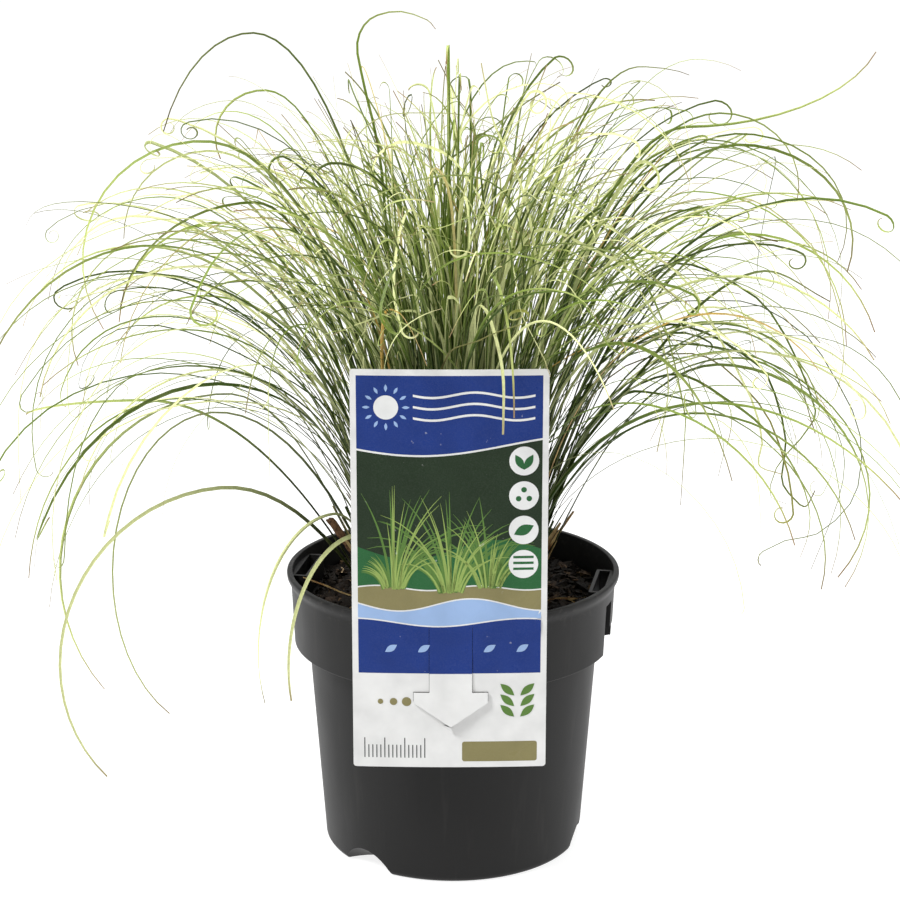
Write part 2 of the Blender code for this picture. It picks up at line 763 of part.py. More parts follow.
def make_label(parts, guides):
    """The label: a card with a die-cut tab, and a strip over the rim into the front pocket."""
    back = CARD_FRONT + CARD_THICKNESS
    tab = upright(outline_solid("tab", arrow_outline(0.0), CARD_FRONT - 0.002, back + 0.002, guides))
    tab = as_cutter(freeze(tab))
    slit = upright(outline_solid("slit", arrow_outline(DIE_CUT), CARD_FRONT - 0.001, back + 0.001, guides))
    slit = as_cutter(freeze(slit))
    boolean(slit, "DIFFERENCE", tab)

    fold = POT_HEIGHT + GAP
    half = CARD_THICKNESS / 2
    strip_points = [
        (back - half, fold), (STRIP_PLACE - half, fold), (STRIP_PLACE - half, STRIP_FOOT),
        (STRIP_PLACE + half, STRIP_FOOT), (STRIP_PLACE + half, fold + CARD_THICKNESS),
        (back - half, fold + CARD_THICKNESS)]
    strip = outline_solid("strip", strip_points, STRIP_CENTRE - STRIP_HALF_WIDTH,
                          STRIP_CENTRE + STRIP_HALF_WIDTH, guides)
    strip.rotation_euler = (math.pi / 2, 0.0, math.pi / 2)
    strip.location = (STRIP_CENTRE, 0.0, 0.0)
    strip = as_cutter(freeze(strip))

    card = freeze(upright(outline_solid("label", rounded_card(), CARD_FRONT, back, parts)))
    boolean(card, "DIFFERENCE", slit)
    boolean(card, "UNION", strip)
    card.data.materials.append(principled("label card", CARD_COLOUR, 0.35))
    return card


def shade_round(thing):
    """Shade a round piece smooth, with its edges kept sharp."""
    thing.data.shade_smooth()
    thing.data.set_sharp_from_angle(angle=math.radians(35))


def main():
    """Build every piece of the plant and its pot."""
    clear_scene()
    parts = new_collection("potted sedge")
    guides = new_collection("guides")
    pot = make_pot(parts, guides)
    shade_round(pot)
    make_mix(parts)
    make_label(parts, guides)
    leaf_materials = [principled(f"leaf {order + 1}", colour, 0.45)
                      for order, colour in enumerate(LEAF_COLOURS)]
    for index in range(TUFTS):
        shade_round(make_tuft(index, parts, leaf_materials[index % len(leaf_materials)]))


main()
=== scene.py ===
"""The looks of a potted sedge: a clump of hair-fine arching leaves in a round nursery pot.

Metres, +Z up, in the CAD model's frame: the origin is the centre of the pot's underside, and the label
is on the -Y side. An azimuth is in degrees round +Z, from 0 at +X to 90 at +Y.
"""

import json
import logging
import math
import random
from contextlib import contextmanager
from dataclasses import dataclass
from enum import Enum
from typing import Callable, Iterable, Iterator, NamedTuple

import bmesh
import bpy
from mathutils import Matrix, Quaternion, Vector, kdtree, noise

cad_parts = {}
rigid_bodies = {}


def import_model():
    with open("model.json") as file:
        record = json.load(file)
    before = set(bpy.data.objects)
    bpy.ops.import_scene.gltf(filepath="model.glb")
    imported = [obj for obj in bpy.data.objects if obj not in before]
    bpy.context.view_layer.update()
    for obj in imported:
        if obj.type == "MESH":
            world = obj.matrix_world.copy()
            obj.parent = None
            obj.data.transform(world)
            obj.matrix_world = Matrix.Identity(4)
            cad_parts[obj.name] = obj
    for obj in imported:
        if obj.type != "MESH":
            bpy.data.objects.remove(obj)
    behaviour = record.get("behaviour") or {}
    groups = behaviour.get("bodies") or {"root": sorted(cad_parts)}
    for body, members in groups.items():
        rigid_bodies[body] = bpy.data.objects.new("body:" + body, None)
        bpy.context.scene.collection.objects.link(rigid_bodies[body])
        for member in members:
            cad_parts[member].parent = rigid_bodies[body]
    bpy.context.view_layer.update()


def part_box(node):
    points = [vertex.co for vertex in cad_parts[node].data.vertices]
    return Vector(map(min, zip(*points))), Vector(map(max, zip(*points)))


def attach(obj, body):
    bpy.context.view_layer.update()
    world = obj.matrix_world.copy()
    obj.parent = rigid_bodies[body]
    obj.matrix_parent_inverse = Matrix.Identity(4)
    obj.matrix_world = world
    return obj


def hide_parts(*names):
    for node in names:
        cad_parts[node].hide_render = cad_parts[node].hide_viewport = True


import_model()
LOG = logging.getLogger("potted sedge")

Thing = bpy.types.Object
Shape = bmesh.types.BMesh
Socket = bpy.types.NodeSocket
Finish = bpy.types.Material
Colour = tuple[float, float, float]
Place = tuple[float, float, float]
Range = tuple[float, float]
Spot = tuple[float, float]
Outline = list[Spot]
Edge = Callable[[float], float]

GAP = 0.0003
WELD = 0.00001
FINE_WELD = 0.000001
SEED = 41
POT_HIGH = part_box("pot")[1]
CARD_LOW, CARD_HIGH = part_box("label")
RIM = POT_HIGH.z
LIP_RADIUS = POT_HIGH.x


def blend(start: float, end: float, share: float) -> float:
    """The value that lies at share of the way from start to end."""
    return start + (end - start) * share


def round_z(azimuth: float, radius: float, height: float) -> Vector:
    """A point by its azimuth in degrees, its radius and its height."""
    turn = math.radians(azimuth)
    return Vector((radius * math.cos(turn), radius * math.sin(turn), height))


def angle_between(first: float, second: float) -> float:
    """The signed turn in degrees from the second azimuth to the first, within half a circle."""
    return (first - second + 180) % 360 - 180


# Meshes


def add_object(name: str, data: bpy.types.ID) -> Thing:
    """Put a mesh, a curve, a lamp or a camera in an object of the scene, at the origin."""
    thing = bpy.data.objects.new(name, data)
    bpy.context.scene.collection.objects.link(thing)
    return thing


def mesh_of(name: str, shape: Shape) -> bpy.types.Mesh:
    """End a bmesh as a new mesh."""
    mesh = bpy.data.meshes.new(name)
    shape.to_mesh(mesh)
    shape.free()
    return mesh


@contextmanager
def opened(mesh: bpy.types.Mesh) -> Iterator[Shape]:
    """A mesh as a bmesh, written back at the end."""
    shape = bmesh.new()
    shape.from_mesh(mesh)
    yield shape
    shape.to_mesh(mesh)
    shape.free()


def evaluated(thing: Thing) -> bpy.types.Mesh:
    """The mesh that an object's modifiers make of it."""
    bpy.context.view_layer.update()
    graph = bpy.context.evaluated_depsgraph_get()
    return bpy.data.meshes.new_from_object(thing.evaluated_get(graph))


def plain_mesh(thing: Thing, weld: float = 0.0) -> Thing:
    """Swap an object for its evaluated mesh, with its place in the mesh.

    Args:
        thing: The object, with its modifiers. It is removed.
        weld: The distance at which vertices are merged, or 0 to leave them.

    Returns:
        An object of the same name, at the origin, with no modifiers.
    """
    mesh = evaluated(thing)
    mesh.transform(thing.matrix_world)
    name = thing.name
    bpy.data.objects.remove(thing, do_unlink=True)
    if weld:
        with opened(mesh) as shape:
            bmesh.ops.remove_doubles(shape, verts=shape.verts, dist=weld)
            bmesh.ops.recalc_face_normals(shape, faces=shape.faces)
    mesh.name = name
    return add_object(name, mesh)


def boolean(thing: Thing, operation: str, others: list[Thing]) -> None:
    """Cut an object with others or join it to them, apply it, and remove them."""
    for other in others:
        step = thing.modifiers.new(operation.lower(), "BOOLEAN")
        step.operation = operation
        step.solver = "EXACT"
        step.object = other
    mesh = evaluated(thing)
    thing.modifiers.clear()
    thing.data = mesh
    for other in others:
        bpy.data.objects.remove(other, do_unlink=True)


def turned(name: str, profile: Outline, steps: int) -> Thing:
    """Turn a profile of (radius, height) points about Z. It runs from the top down its outer side."""
    mesh = bpy.data.meshes.new(name)
    edges = [(index, index + 1) for index in range(len(profile) - 1)]
    mesh.from_pydata([(radius, 0.0, height) for radius, height in profile], edges, [])
    thing = add_object(name, mesh)
    screw = thing.modifiers.new("turn", "SCREW")
    screw.steps = screw.render_steps = steps
    screw.use_merge_vertices = True
    screw.merge_threshold = WELD
    return plain_mesh(thing, weld=WELD)


def bar(name: str, radius: float, start: Vector, end: Vector, sides: int) -> Thing:
    """A round bar between two points."""
    axis = end - start
    place = Matrix.Translation((start + end) / 2) @ axis.to_track_quat("Z", "Y").to_matrix().to_4x4()
    shape = bmesh.new()
    bmesh.ops.create_cone(shape, cap_ends=True, segments=sides, radius1=radius, radius2=radius,
                          depth=axis.length)
    bmesh.ops.transform(shape, matrix=place, verts=shape.verts)
    return add_object(name, mesh_of(name, shape))


def block(name: str, low: tuple[float, ...], high: tuple[float, ...], azimuth: float) -> Thing:
    """A box between two corners, turned about Z to an azimuth."""
    low, high = Vector(low), Vector(high)
    place = (Matrix.Rotation(math.radians(azimuth), 4, "Z") @ Matrix.Translation((low + high) / 2)
             @ Matrix.Diagonal((*(high - low), 1.0)))
    shape = bmesh.new()
    bmesh.ops.create_cube(shape, size=1.0)
    bmesh.ops.transform(shape, matrix=place, verts=shape.verts)
    return add_object(name, mesh_of(name, shape))


def flat_solid(name: str, outline: Outline, thickness: float) -> Thing:
    """A closed outline in XY, filled and extruded evenly to both sides of Z = 0."""
    curve = bpy.data.curves.new(name, "CURVE")
    curve.dimensions = "2D"
    curve.fill_mode = "BOTH"
    curve.extrude = thickness / 2
    spline = curve.splines.new("POLY")
    spline.points.add(len(outline) - 1)
    spline.points.foreach_set("co", [part for x, y in outline for part in (x, y, 0.0, 1.0)])
    spline.use_cyclic_u = True
    return plain_mesh(add_object(name, curve), weld=FINE_WELD)


def triangulate_caps(shape: Shape) -> None:
    """Cut the faces with more than four corners into triangles."""
    bmesh.ops.triangulate(shape, faces=[face for face in shape.faces if len(face.verts) > 4])


def shade(thing: Thing, sharp_degrees: float) -> None:
    """Shade a piece smooth, with the edges that turn more than an angle kept sharp."""
    thing.data.shade_smooth()
    thing.data.set_sharp_from_angle(angle=math.radians(sharp_degrees))


def dress(thing: Thing, material: Finish) -> None:
    """Give a piece one finish all over."""
    thing.data.materials.clear()
    thing.data.materials.append(material)


def hand_in(piece: Thing, nodes: Iterable[str]) -> None:
    """Join a finished piece to the frame: its body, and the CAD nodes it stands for."""
    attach(piece, "root")
    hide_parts(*nodes)
    LOG.info("%s: %d faces, in place of %s", piece.name, len(piece.data.polygons), ", ".join(nodes))


# Trees of nodes


class NodeKit:
    """A tree of nodes, with short calls that add and join them."""

    def __init__(self, tree: bpy.types.NodeTree) -> None:
        self.tree = tree

    def join(self, value: object, socket: Socket) -> None:
        """Link a socket to an input, or set the input to a value."""
        if isinstance(value, Socket):
            self.tree.links.new(value, socket)
        else:
            socket.default_value = value

    def add(self, kind: str, inputs: dict[str | int, object] | None = None, **settings: object) -> Socket:
        """Add a node.

        Args:
            kind: Its type.
            inputs: Values or sockets by the name or the place of an input.
            settings: The node's own options.

        Returns:
            Its first live output, whose node holds the others.
        """
        node = self.tree.nodes.new(kind)
        for option, value in settings.items():
            setattr(node, option, value)
        live = [item for item in node.inputs if item.enabled]
        for key, value in (inputs or {}).items():
            self.join(value, live[key] if isinstance(key, int) else next(i for i in live if i.name == key))
        return next(item for item in node.outputs if item.enabled)

    def math(self, operation: str, *values: object) -> Socket:
        """Work a number out of others."""
        return self.add("ShaderNodeMath", dict(enumerate(values)), operation=operation)

    def times(self, first: object, second: object) -> Socket:
        """Multiply two numbers."""
        return self.math("MULTIPLY", first, second)


class GrowTree(NodeKit):
    """A Geometry Nodes tree with named inputs."""

    def __init__(self, name: str, **inputs: str) -> None:
        super().__init__(bpy.data.node_groups.new(name, "GeometryNodeTree"))
        sockets = self.tree.interface
        for way in ("INPUT", "OUTPUT"):
            sockets.new_socket("Geometry", in_out=way, socket_type="NodeSocketGeometry")
        for label, kind in inputs.items():
            sockets.new_socket(label, in_out="INPUT", socket_type=f"NodeSocket{kind}")
        self.given = self.tree.nodes.new("NodeGroupInput").outputs

    def draw(self, low: object, high: object, seed: int, kind: str = "FLOAT") -> Socket:
        """A seeded random value for each element."""
        return self.add("FunctionNodeRandomValue", {"Min": low, "Max": high, "Seed": seed}, data_type=kind)

    def store(self, geometry: Socket, name: str, value: Socket, domain: str) -> Socket:
        """Keep a number with the geometry."""
        inputs = {"Geometry": geometry, "Name": name, "Value": value}
        return self.add("GeometryNodeStoreNamedAttribute", inputs, data_type="FLOAT", domain=domain)

    def stored(self, name: str, kind: str = "FLOAT") -> Socket:
        """Read what the geometry keeps."""
        return self.add("GeometryNodeInputNamedAttribute", {"Name": name}, data_type=kind)

    def finish(self, geometry: Socket) -> bpy.types.NodeTree:
        """End the tree in Realize Instances and Set Material."""
        real = self.add("GeometryNodeRealizeInstances", {"Geometry": geometry})
        faced = self.add("GeometryNodeSetMaterial", {"Geometry": real, "Material": self.given["Finish"]})
        self.join(faced, self.tree.nodes.new("NodeGroupOutput").inputs["Geometry"])
        return self.tree


def grow(thing: Thing, tree: bpy.types.NodeTree, values: dict[str, object]) -> Thing:
    """Run a tree on an object and keep what it makes as a plain mesh.

    Args:
        thing: The object that the tree reads. It is swapped for the result.
        tree: The tree.
        values: Values for the tree's named inputs.

    Returns:
        The object with the finished mesh, without the modifier.
    """
    step = thing.modifiers.new(tree.name, "NODES")
    step.node_group = tree
    for item in tree.interface.items_tree:
        if item.in_out == "INPUT" and item.name in values:
            step[item.identifier] = values[item.name]
    return plain_mesh(thing)


def blade_tree() -> bpy.types.NodeTree:
    """The tree that sweeps a grooved, keeled section along every line of a mesh of leaf lines.

    Each point of a line carries its own width and facing. The finished leaf also holds the attribute
    across, which is 1 at the two margins and 0 along the groove and the keel.
    """
    tree = GrowTree("blade sweep", Groove="Float", Keel="Float", Finish="Material")
    lines = tree.add("GeometryNodeMeshToCurve", {"Mesh": tree.given["Geometry"]})
    faced = tree.add("GeometryNodeSetCurveNormal",
                     {"Curve": lines, "Normal": tree.stored("facing", "FLOAT_VECTOR")}, mode="FREE")
    corners: dict[str, object] = {"Point 1": (0.5, 0.0, 0.0), "Point 3": (-0.5, 0.0, 0.0)}
    for corner, depth in (("Point 2", "Groove"), ("Point 4", "Keel")):
        corners[corner] = tree.add("ShaderNodeCombineXYZ", {"Y": tree.times(tree.given[depth], -1.0)})
    section = tree.add("GeometryNodeCurvePrimitiveQuadrilateral", corners, mode="POINTS")
    side = tree.add("ShaderNodeSeparateXYZ", {"Vector": tree.add("GeometryNodeInputPosition")})
    marked = tree.store(section, "across", tree.math("ABSOLUTE", tree.times(side, 2.0)), "POINT")
    return tree.finish(tree.add("GeometryNodeCurveToMesh", {
        "Curve": faced, "Profile Curve": marked, "Scale": tree.stored("width"), "Fill Caps": True}))


def litter_tree() -> bpy.types.NodeTree:
    """The tree that strews pieces of a collection over a surface, each turned, tipped and sized at random."""
    tree = GrowTree("litter", Pieces="Collection", Density="Float", Spacing="Float", Seed="Int",
                    Smallest="Float", Largest="Float", Tilt="Float", Finish="Material")
    given = tree.given
    points = tree.add("GeometryNodeDistributePointsOnFaces", {
        "Mesh": given["Geometry"], "Distance Min": given["Spacing"], "Density Max": given["Density"],
        "Seed": given["Seed"]}, distribute_method="POISSON")
    kinds = tree.add("GeometryNodeCollectionInfo", {
        "Collection": given["Pieces"], "Separate Children": True, "Reset Children": True})
    turn = tree.draw((-1.0, -1.0, -math.pi), (1.0, 1.0, math.pi), seed=7, kind="FLOAT_VECTOR")
    parts = tree.add("ShaderNodeSeparateXYZ", {"Vector": turn}).node.outputs
    rotation = tree.add("ShaderNodeCombineXYZ", {"X": tree.times(parts["X"], given["Tilt"]),
                                                 "Y": tree.times(parts["Y"], given["Tilt"]), "Z": parts["Z"]})
    strewn = tree.add("GeometryNodeInstanceOnPoints", {
        "Points": points, "Instance": kinds, "Pick Instance": True, "Rotation": rotation,
        "Scale": tree.draw(given["Smallest"], given["Largest"], seed=11)})
    return tree.finish(tree.store(strewn, "tone", tree.draw(0.0, 1.0, seed=5), "INSTANCE"))


# Finishes


class Paint(NodeKit):
    """A material's nodes, with short calls for its patterns."""

    def __init__(self, name: str, specular: float) -> None:
        self.material = bpy.data.materials.new(name)
        self.material.use_nodes = True
        super().__init__(self.material.node_tree)
        self.shader = self.tree.nodes["Principled BSDF"].inputs
        self.shader["Specular IOR Level"].default_value = specular
        self.place = self.tree.nodes.new("ShaderNodeTexCoord").outputs["Object"]

    def attribute(self, name: str) -> Socket:
        """Read a number that the mesh carries."""
        return self.add("ShaderNodeAttribute", attribute_name=name).node.outputs["Fac"]

    def noise(self, size: float, detail: float = 3.0, stretch: Colour = (1.0, 1.0, 1.0)) -> Socket:
        """Cloudy noise with features of a size in metres, drawn out along an axis by a stretch below 1."""
        place = self.add("ShaderNodeMapping", {"Vector": self.place, "Scale": stretch})
        return self.add("ShaderNodeTexNoise", {"Vector": place, "Scale": 1.0 / size, "Detail": detail})

    def span(self, value: object, low: float, high: float, start: float = 0.0, end: float = 1.0,
             interpolation: str = "LINEAR") -> Socket:
        """Map a value from low..high to start..end, held at both ends."""
        return self.add("ShaderNodeMapRange", {"Value": value, "From Min": low, "From Max": high,
                                               "To Min": start, "To Max": end},
                        interpolation_type=interpolation)

    def ramp(self, factor: object, stops: Iterable[tuple[float, Colour]]) -> Socket:
        """Colours by place along a factor."""
        colour = self.add("ShaderNodeValToRGB", {"Fac": factor})
        marks = colour.node.color_ramp.elements
        for index, (place, tint) in enumerate(stops):
            mark = marks[index] if index < 2 else marks.new(place)
            mark.position = place
            mark.color = (*tint, 1.0)
        return colour

    def mixed(self, factor: object, first: object, second: object) -> Socket:
        """Mix two colours."""
        first, second = ((*tint, 1.0) if isinstance(tint, tuple) else tint for tint in (first, second))
        return self.add("ShaderNodeMix", {"Factor": factor, "A": first, "B": second}, data_type="RGBA")

    def bump(self, height: Socket, distance: float, strength: float) -> None:
        """Raise the surface by a height field. A second call adds to the first."""
        inputs = {"Height": height, "Distance": distance, "Strength": strength}
        if self.shader["Normal"].links:
            inputs["Normal"] = self.shader["Normal"].links[0].from_socket
        self.join(self.add("ShaderNodeBump", inputs), self.shader["Normal"])

    def finish(self, colour: Socket, roughness: Socket) -> Finish:
        """Join the colour and the roughness to the shader, and end the material."""
        self.join(colour, self.shader["Base Color"])
        self.join(roughness, self.shader["Roughness"])
        return self.material


@dataclass(frozen=True)
class PotPlastic:
    """Charcoal moulded plastic: matte, faintly clouded, with a fine grain and dust under the lip."""

    colour: Colour = (0.0085, 0.0083, 0.0083)
    paler: float = 1.22
    dusty: Colour = (0.046, 0.042, 0.039)
    dust_height: float = RIM - 0.012
    dust_share: float = 0.55
    streak_share: float = 0.20
    roughness: float = 0.46

    def material(self) -> Finish:
        """Build the material."""
        paint = Paint("pot plastic", specular=0.24)
        cloud = paint.noise(0.030, 4.0, (1.0, 1.0, 0.5))
        streak = paint.noise(0.004, 3.0, (1.0, 1.0, 0.06))
        height = paint.add("ShaderNodeSeparateXYZ", {"Vector": paint.place}).node.outputs["Z"]
        upper = paint.span(height, self.dust_height, RIM, interpolation="SMOOTHSTEP")
        specks = paint.span(paint.noise(0.0022, 5.0), 0.56, 0.70)
        paler = tuple(part * self.paler for part in self.colour)
        base = paint.mixed(paint.span(cloud, 0.35, 0.68), self.colour, paler)
        base = paint.mixed(paint.span(streak, 0.60, 0.78, 0.0, self.streak_share), base, self.dusty)
        base = paint.mixed(paint.times(paint.times(upper, specks), self.dust_share), base, self.dusty)
        paint.bump(paint.noise(0.0006, 2.0), 0.00004, 0.5)
        paint.bump(cloud, 0.0004, 0.25)
        return paint.finish(base, paint.span(cloud, 0.3, 0.7, self.roughness - 0.05, self.roughness + 0.07))


@dataclass(frozen=True)
class BarkLitter:
    """Bark, crumbs and bits, in colours from dark to pale, fibrous and matte, with painted shade in the
    crevices.
    """

    name: str
    stops: tuple[tuple[float, Colour], ...]
    crevice_shade: Colour = (0.012, 0.008, 0.006)

    def material(self) -> Finish:
        """Build the material, which reads each chip's own tone."""
        paint = Paint(self.name, specular=0.15)
        fibre = paint.noise(0.0011, 4.0)
        lump = paint.span(paint.noise(0.0042), 0.3, 0.7, -0.10, 0.10)
        base = paint.ramp(paint.math("ADD", paint.attribute("tone"), lump), self.stops)
        # Near-black painted shade in the crevices between the fibres.
        base = paint.mixed(paint.span(fibre, 0.42, 0.66, 0.0, 0.65), base, self.crevice_shade)
        paint.bump(fibre, 0.0005, 0.8)
        return paint.finish(base, paint.span(fibre, 0.3, 0.7, 0.70, 0.95))


@dataclass(frozen=True)
class LeafSkin:
    """Leaf: dark at the foot, mid green, then paler to a cream arch and a tan tip, with pale margins.

    The near-black foot is painted shade of the crowded crown, over the leaf's own darker base, and the
    pale upper colours and the cream are partly painted light, brighter than the leaf itself.
    """

    foot: Colour = (0.026, 0.026, 0.007)
    lower: Colour = (0.012, 0.026, 0.003)
    middle: Colour = (0.048, 0.092, 0.009)
    arch: Colour = (0.240, 0.340, 0.052)
    upper: Colour = (0.600, 0.680, 0.220)
    tip: Colour = (0.330, 0.205, 0.100)
    cream: Colour = (0.900, 0.930, 0.470)
    dark: Colour = (0.022, 0.044, 0.005)
    straw: Colour = (0.620, 0.440, 0.210)
    rust: Colour = (0.200, 0.085, 0.035)
    gold: Colour = (0.640, 0.360, 0.060)

    def material(self) -> Finish:
        """Build the material, which reads where along and across a leaf a point lies, and its tone."""
        paint = Paint("leaf skin", specular=0.12)
        along, across, tone, dead = map(paint.attribute, ("along", "across", "tone", "dead"))
        mottle = paint.noise(0.006)
        fine = paint.noise(0.0012)
        # Along a leaf: the near-black foot and lower stops are painted shade of the crowded crown over the
        # leaf's own darker base; the upper stop is partly painted light.
        live = paint.ramp(along, ((0.0, self.foot), (0.16, self.lower), (0.42, self.middle),
                                  (0.70, self.arch), (0.91, self.upper), (0.985, self.tip)))
        # Cream on the pale-toned leaves up the arch: their own paler colour, partly painted light.
        pale = paint.times(paint.span(tone, 0.58, 0.84, 0.0, 0.95), paint.span(along, 0.12, 0.58))
        pale = paint.times(pale, paint.span(along, 0.93, 0.99, 1.0, 0.35))
        deep = paint.times(paint.span(tone, 0.0, 0.35, 0.85, 0.0), paint.span(along, 0.40, 1.0, 1.0, 0.80))
        margin = paint.times(paint.span(across, 0.55, 1.0, 0.0, 0.18), paint.span(along, 0.0, 0.5, 0.2, 1.0))
        for share, tint in ((pale, self.cream), (deep, self.dark), (margin, self.cream)):
            live = paint.mixed(share, live, tint)
        shrivel = paint.ramp(paint.math("ADD", along, paint.span(mottle, 0.3, 0.7, -0.25, 0.25)),
                             ((0.0, self.rust), (0.35, self.straw), (0.7, self.gold), (1.0, self.straw)))
        colour = paint.mixed(dead, live, shrivel)
        colour = paint.mixed(paint.span(fine, 0.35, 0.65, 0.0, 0.16), colour, self.dark)
        colour = paint.mixed(paint.span(mottle, 0.50, 0.72, 0.0, 0.07), colour, self.cream)
        paint.bump(fine, 0.00015, 0.35)
        return paint.finish(colour, paint.span(mottle, 0.3, 0.7, 0.36, 0.52))


@dataclass(frozen=True)
class CardStock:
    """Printed plastic card: one ink or the bare card, satin, with a faint mottle and rubbed spots."""

    name: str
    colour: Colour
    worn: Colour = (0.80, 0.80, 0.79)
    deeper: float = 0.86
    roughness: float = 0.34

    def material(self) -> Finish:
        """Build the material."""
        paint = Paint(self.name, specular=0.16)
        mottle = paint.noise(0.012)
        screen = paint.span(paint.noise(0.0005, 1.0), 0.4, 0.7, 0.0, 0.012)
        rubbed = paint.span(paint.noise(0.0035, 6.0), 0.70, 0.76, 0.0, 0.35)
        deeper = tuple(part * self.deeper for part in self.colour)
        base = paint.mixed(paint.span(mottle, 0.3, 0.7), self.colour, deeper)
        for share in (screen, rubbed):
            base = paint.mixed(share, base, self.worn)
        paint.bump(mottle, 0.0002, 0.3)
        return paint.finish(base, paint.span(mottle, 0.3, 0.7, self.roughness - 0.05, self.roughness + 0.06))


# Pot


def arc(centre: Spot, radius: float, start: float, end: float, steps: int) -> Outline:
    """Points on an arc between two angles in degrees."""
    turns = [math.radians(blend(start, end, step / steps)) for step in range(steps + 1)]
    return [(centre[0] + radius * math.cos(turn), centre[1] + radius * math.sin(turn)) for turn in turns]


@dataclass(frozen=True)
class Pot:
    """The pot: a tapering body, a wider collar with a rolled lip, label pockets, and scoops in its foot.

    The two shelf numbers are how far out and up the shelf under the collar is bevelled. The hollow is
    given by how far in from the wall and how far up its corners lie. Past is how far a cutter runs beyond
    what it cuts.
    """

    steps: int = 144
    wall: float = 0.0014
    base_thickness: float = 0.0016
    lip_height: float = 0.0030
    lip_blend: float = 0.0030
    lip_width: float = 0.0024
    lip_round: float = 0.0009
    collar_top: float = LIP_RADIUS - 0.0018
    collar_foot: float = LIP_RADIUS - 0.0029
    collar_height: float = 0.0885
    collar_round: float = 0.0007
    step_height: float = 0.0014
    shelf: Spot = (0.0006, 0.0002)
    body_top: float = LIP_RADIUS - 0.0091
    base_radius: float = 0.0545
    hollow_shelf: tuple[Spot, ...] = ((0.0, 0.0008), (0.0004, 0.0003))
    hollow_step: float = 0.0013
    hollow_side: Spot = (0.0010, 0.0070)
    hollow_foot: tuple[Spot, ...] = ((0.0022, 0.0038), (0.0052, 0.0016))
    foot_swell: float = 0.0003
    foot_round: float = 0.0028
    pockets: tuple[int, ...] = (-10, 80, 170, 260)
    pocket_wall: float = 0.0593
    pocket_top: float = 0.117
    slot_depth: float = 0.0045
    slot_half: float = 0.0136
    window_top: float = 0.1105
    window_foot: float = 0.080
    tongue_half: float = 0.005
    tongue_foot: float = 0.0988
    scoops: tuple[int, ...] = (-132, -12, 108)
    scoop_radius: float = 0.0175
    scoop_rise: float = 0.0085
    scoop_slope: float = 30.0
    scoop_reach: float = 0.030
    drain_radius: float = 0.0035
    drain_place: float = 0.0462
    drain_reach: float = 0.015
    past: float = 0.001

    def outside(self) -> Outline:
        """The outer profile as (radius, height), from the top down."""
        lip = self.lip_round
        lip_foot = RIM - self.lip_height - self.lip_blend
        shelf = self.collar_height - self.step_height
        return [
            (0.0, RIM),
            *arc((LIP_RADIUS - lip, RIM - lip), lip, 90, 0, 5),
            *[(blend(LIP_RADIUS, self.collar_top, (1 - math.cos(math.pi * step / 6)) / 2),
               blend(RIM - lip * 1.6, lip_foot, step / 6)) for step in range(7)],
            *arc((self.collar_foot - self.collar_round, self.collar_height + self.collar_round),
                 self.collar_round, 0, -80, 5),
            (self.body_top + self.shelf[0], shelf + self.shelf[1]),
            (self.body_top, shelf - self.shelf[0]),
            *arc((self.base_radius + self.foot_swell - self.foot_round, self.foot_round), self.foot_round,
                 4, -90, 8),
            (0.0, 0.0),
        ]

    def inside(self, gap: float, top: float, top_radius: float) -> Outline:
        """The hollow's profile, drawn in by a gap for what fills it."""
        collar = self.collar_foot - self.wall - gap
        body = self.body_top - self.wall - gap
        step = self.collar_height + gap
        foot = self.base_radius - gap
        return [
            (0.0, top),
            (top_radius, top),
            *[(collar - inward, step + up) for inward, up in self.hollow_shelf],
            (body, step - self.step_height + self.hollow_step),
            (foot - self.hollow_side[0], self.hollow_side[1]),
            *[(foot - inward, up + gap) for inward, up in self.hollow_foot],
            (0.0, self.base_thickness + gap),
        ]

    def mouth(self) -> Outline:
        """The hollow's profile with the lip's inner edge rounded, to cut the pot."""
        inner = LIP_RADIUS - self.lip_width
        edge = self.lip_round / 2
        flare = arc((inner + edge, RIM - edge), edge, 90, 180, 4)
        high = RIM + 2 * self.past
        return [(0.0, high), (inner + edge, high), (inner + edge, RIM), *flare[1:],
                *self.inside(0.0, RIM, inner)[2:]]

    def scoop(self, azimuth: float, grow: float) -> Thing:
        """A round bar that slopes down and inwards under the foot, and cuts one scoop."""
        slope = math.radians(self.scoop_slope)
        centre = round_z(azimuth, self.base_radius, self.scoop_rise - self.scoop_radius / math.cos(slope))
        outward = round_z(azimuth, math.cos(slope), math.sin(slope)) * self.scoop_reach
        return bar("scoop", self.scoop_radius + grow, centre - outward, centre + outward, 48)

    def drain(self, azimuth: float) -> Thing:
        """An upright bar through the roof of a scoop."""
        ends = (round_z(azimuth, self.drain_place, side * self.drain_reach) for side in (-1, 1))
        return bar("drain", self.drain_radius, *ends, 24)

    def pocket_back(self, azimuth: float, gap: float) -> Thing:
        """The block of the collar that a pocket keeps solid, from its flat wall outwards."""
        side = self.slot_half + self.wall + gap
        return block("pocket back", (self.pocket_wall - gap, -side, self.collar_height - 0.004),
                     (LIP_RADIUS + 0.005, side, self.pocket_top), azimuth)

    def pocket_cuts(self, azimuth: float) -> list[Thing]:
        """The slot behind the lip, the window on both sides of the tongue, and the gap below it."""
        slot = self.pocket_wall + self.wall
        outer = slot + self.slot_depth
        side, tongue, lap = self.slot_half - GAP, self.tongue_half, self.past / 10
        cuts = [block("slot", (slot, -self.slot_half, self.window_foot - self.past),
                      (outer, self.slot_half, self.pocket_top + self.past), azimuth)]
        for low, high, top in ((tongue, side, self.window_top), (-side, -tongue, self.window_top),
                               (-tongue - lap, tongue + lap, self.tongue_foot)):
            cuts.append(block("window", (outer - self.past, low, self.window_foot),
                              (LIP_RADIUS + 0.004, high, top), azimuth))
        return cuts

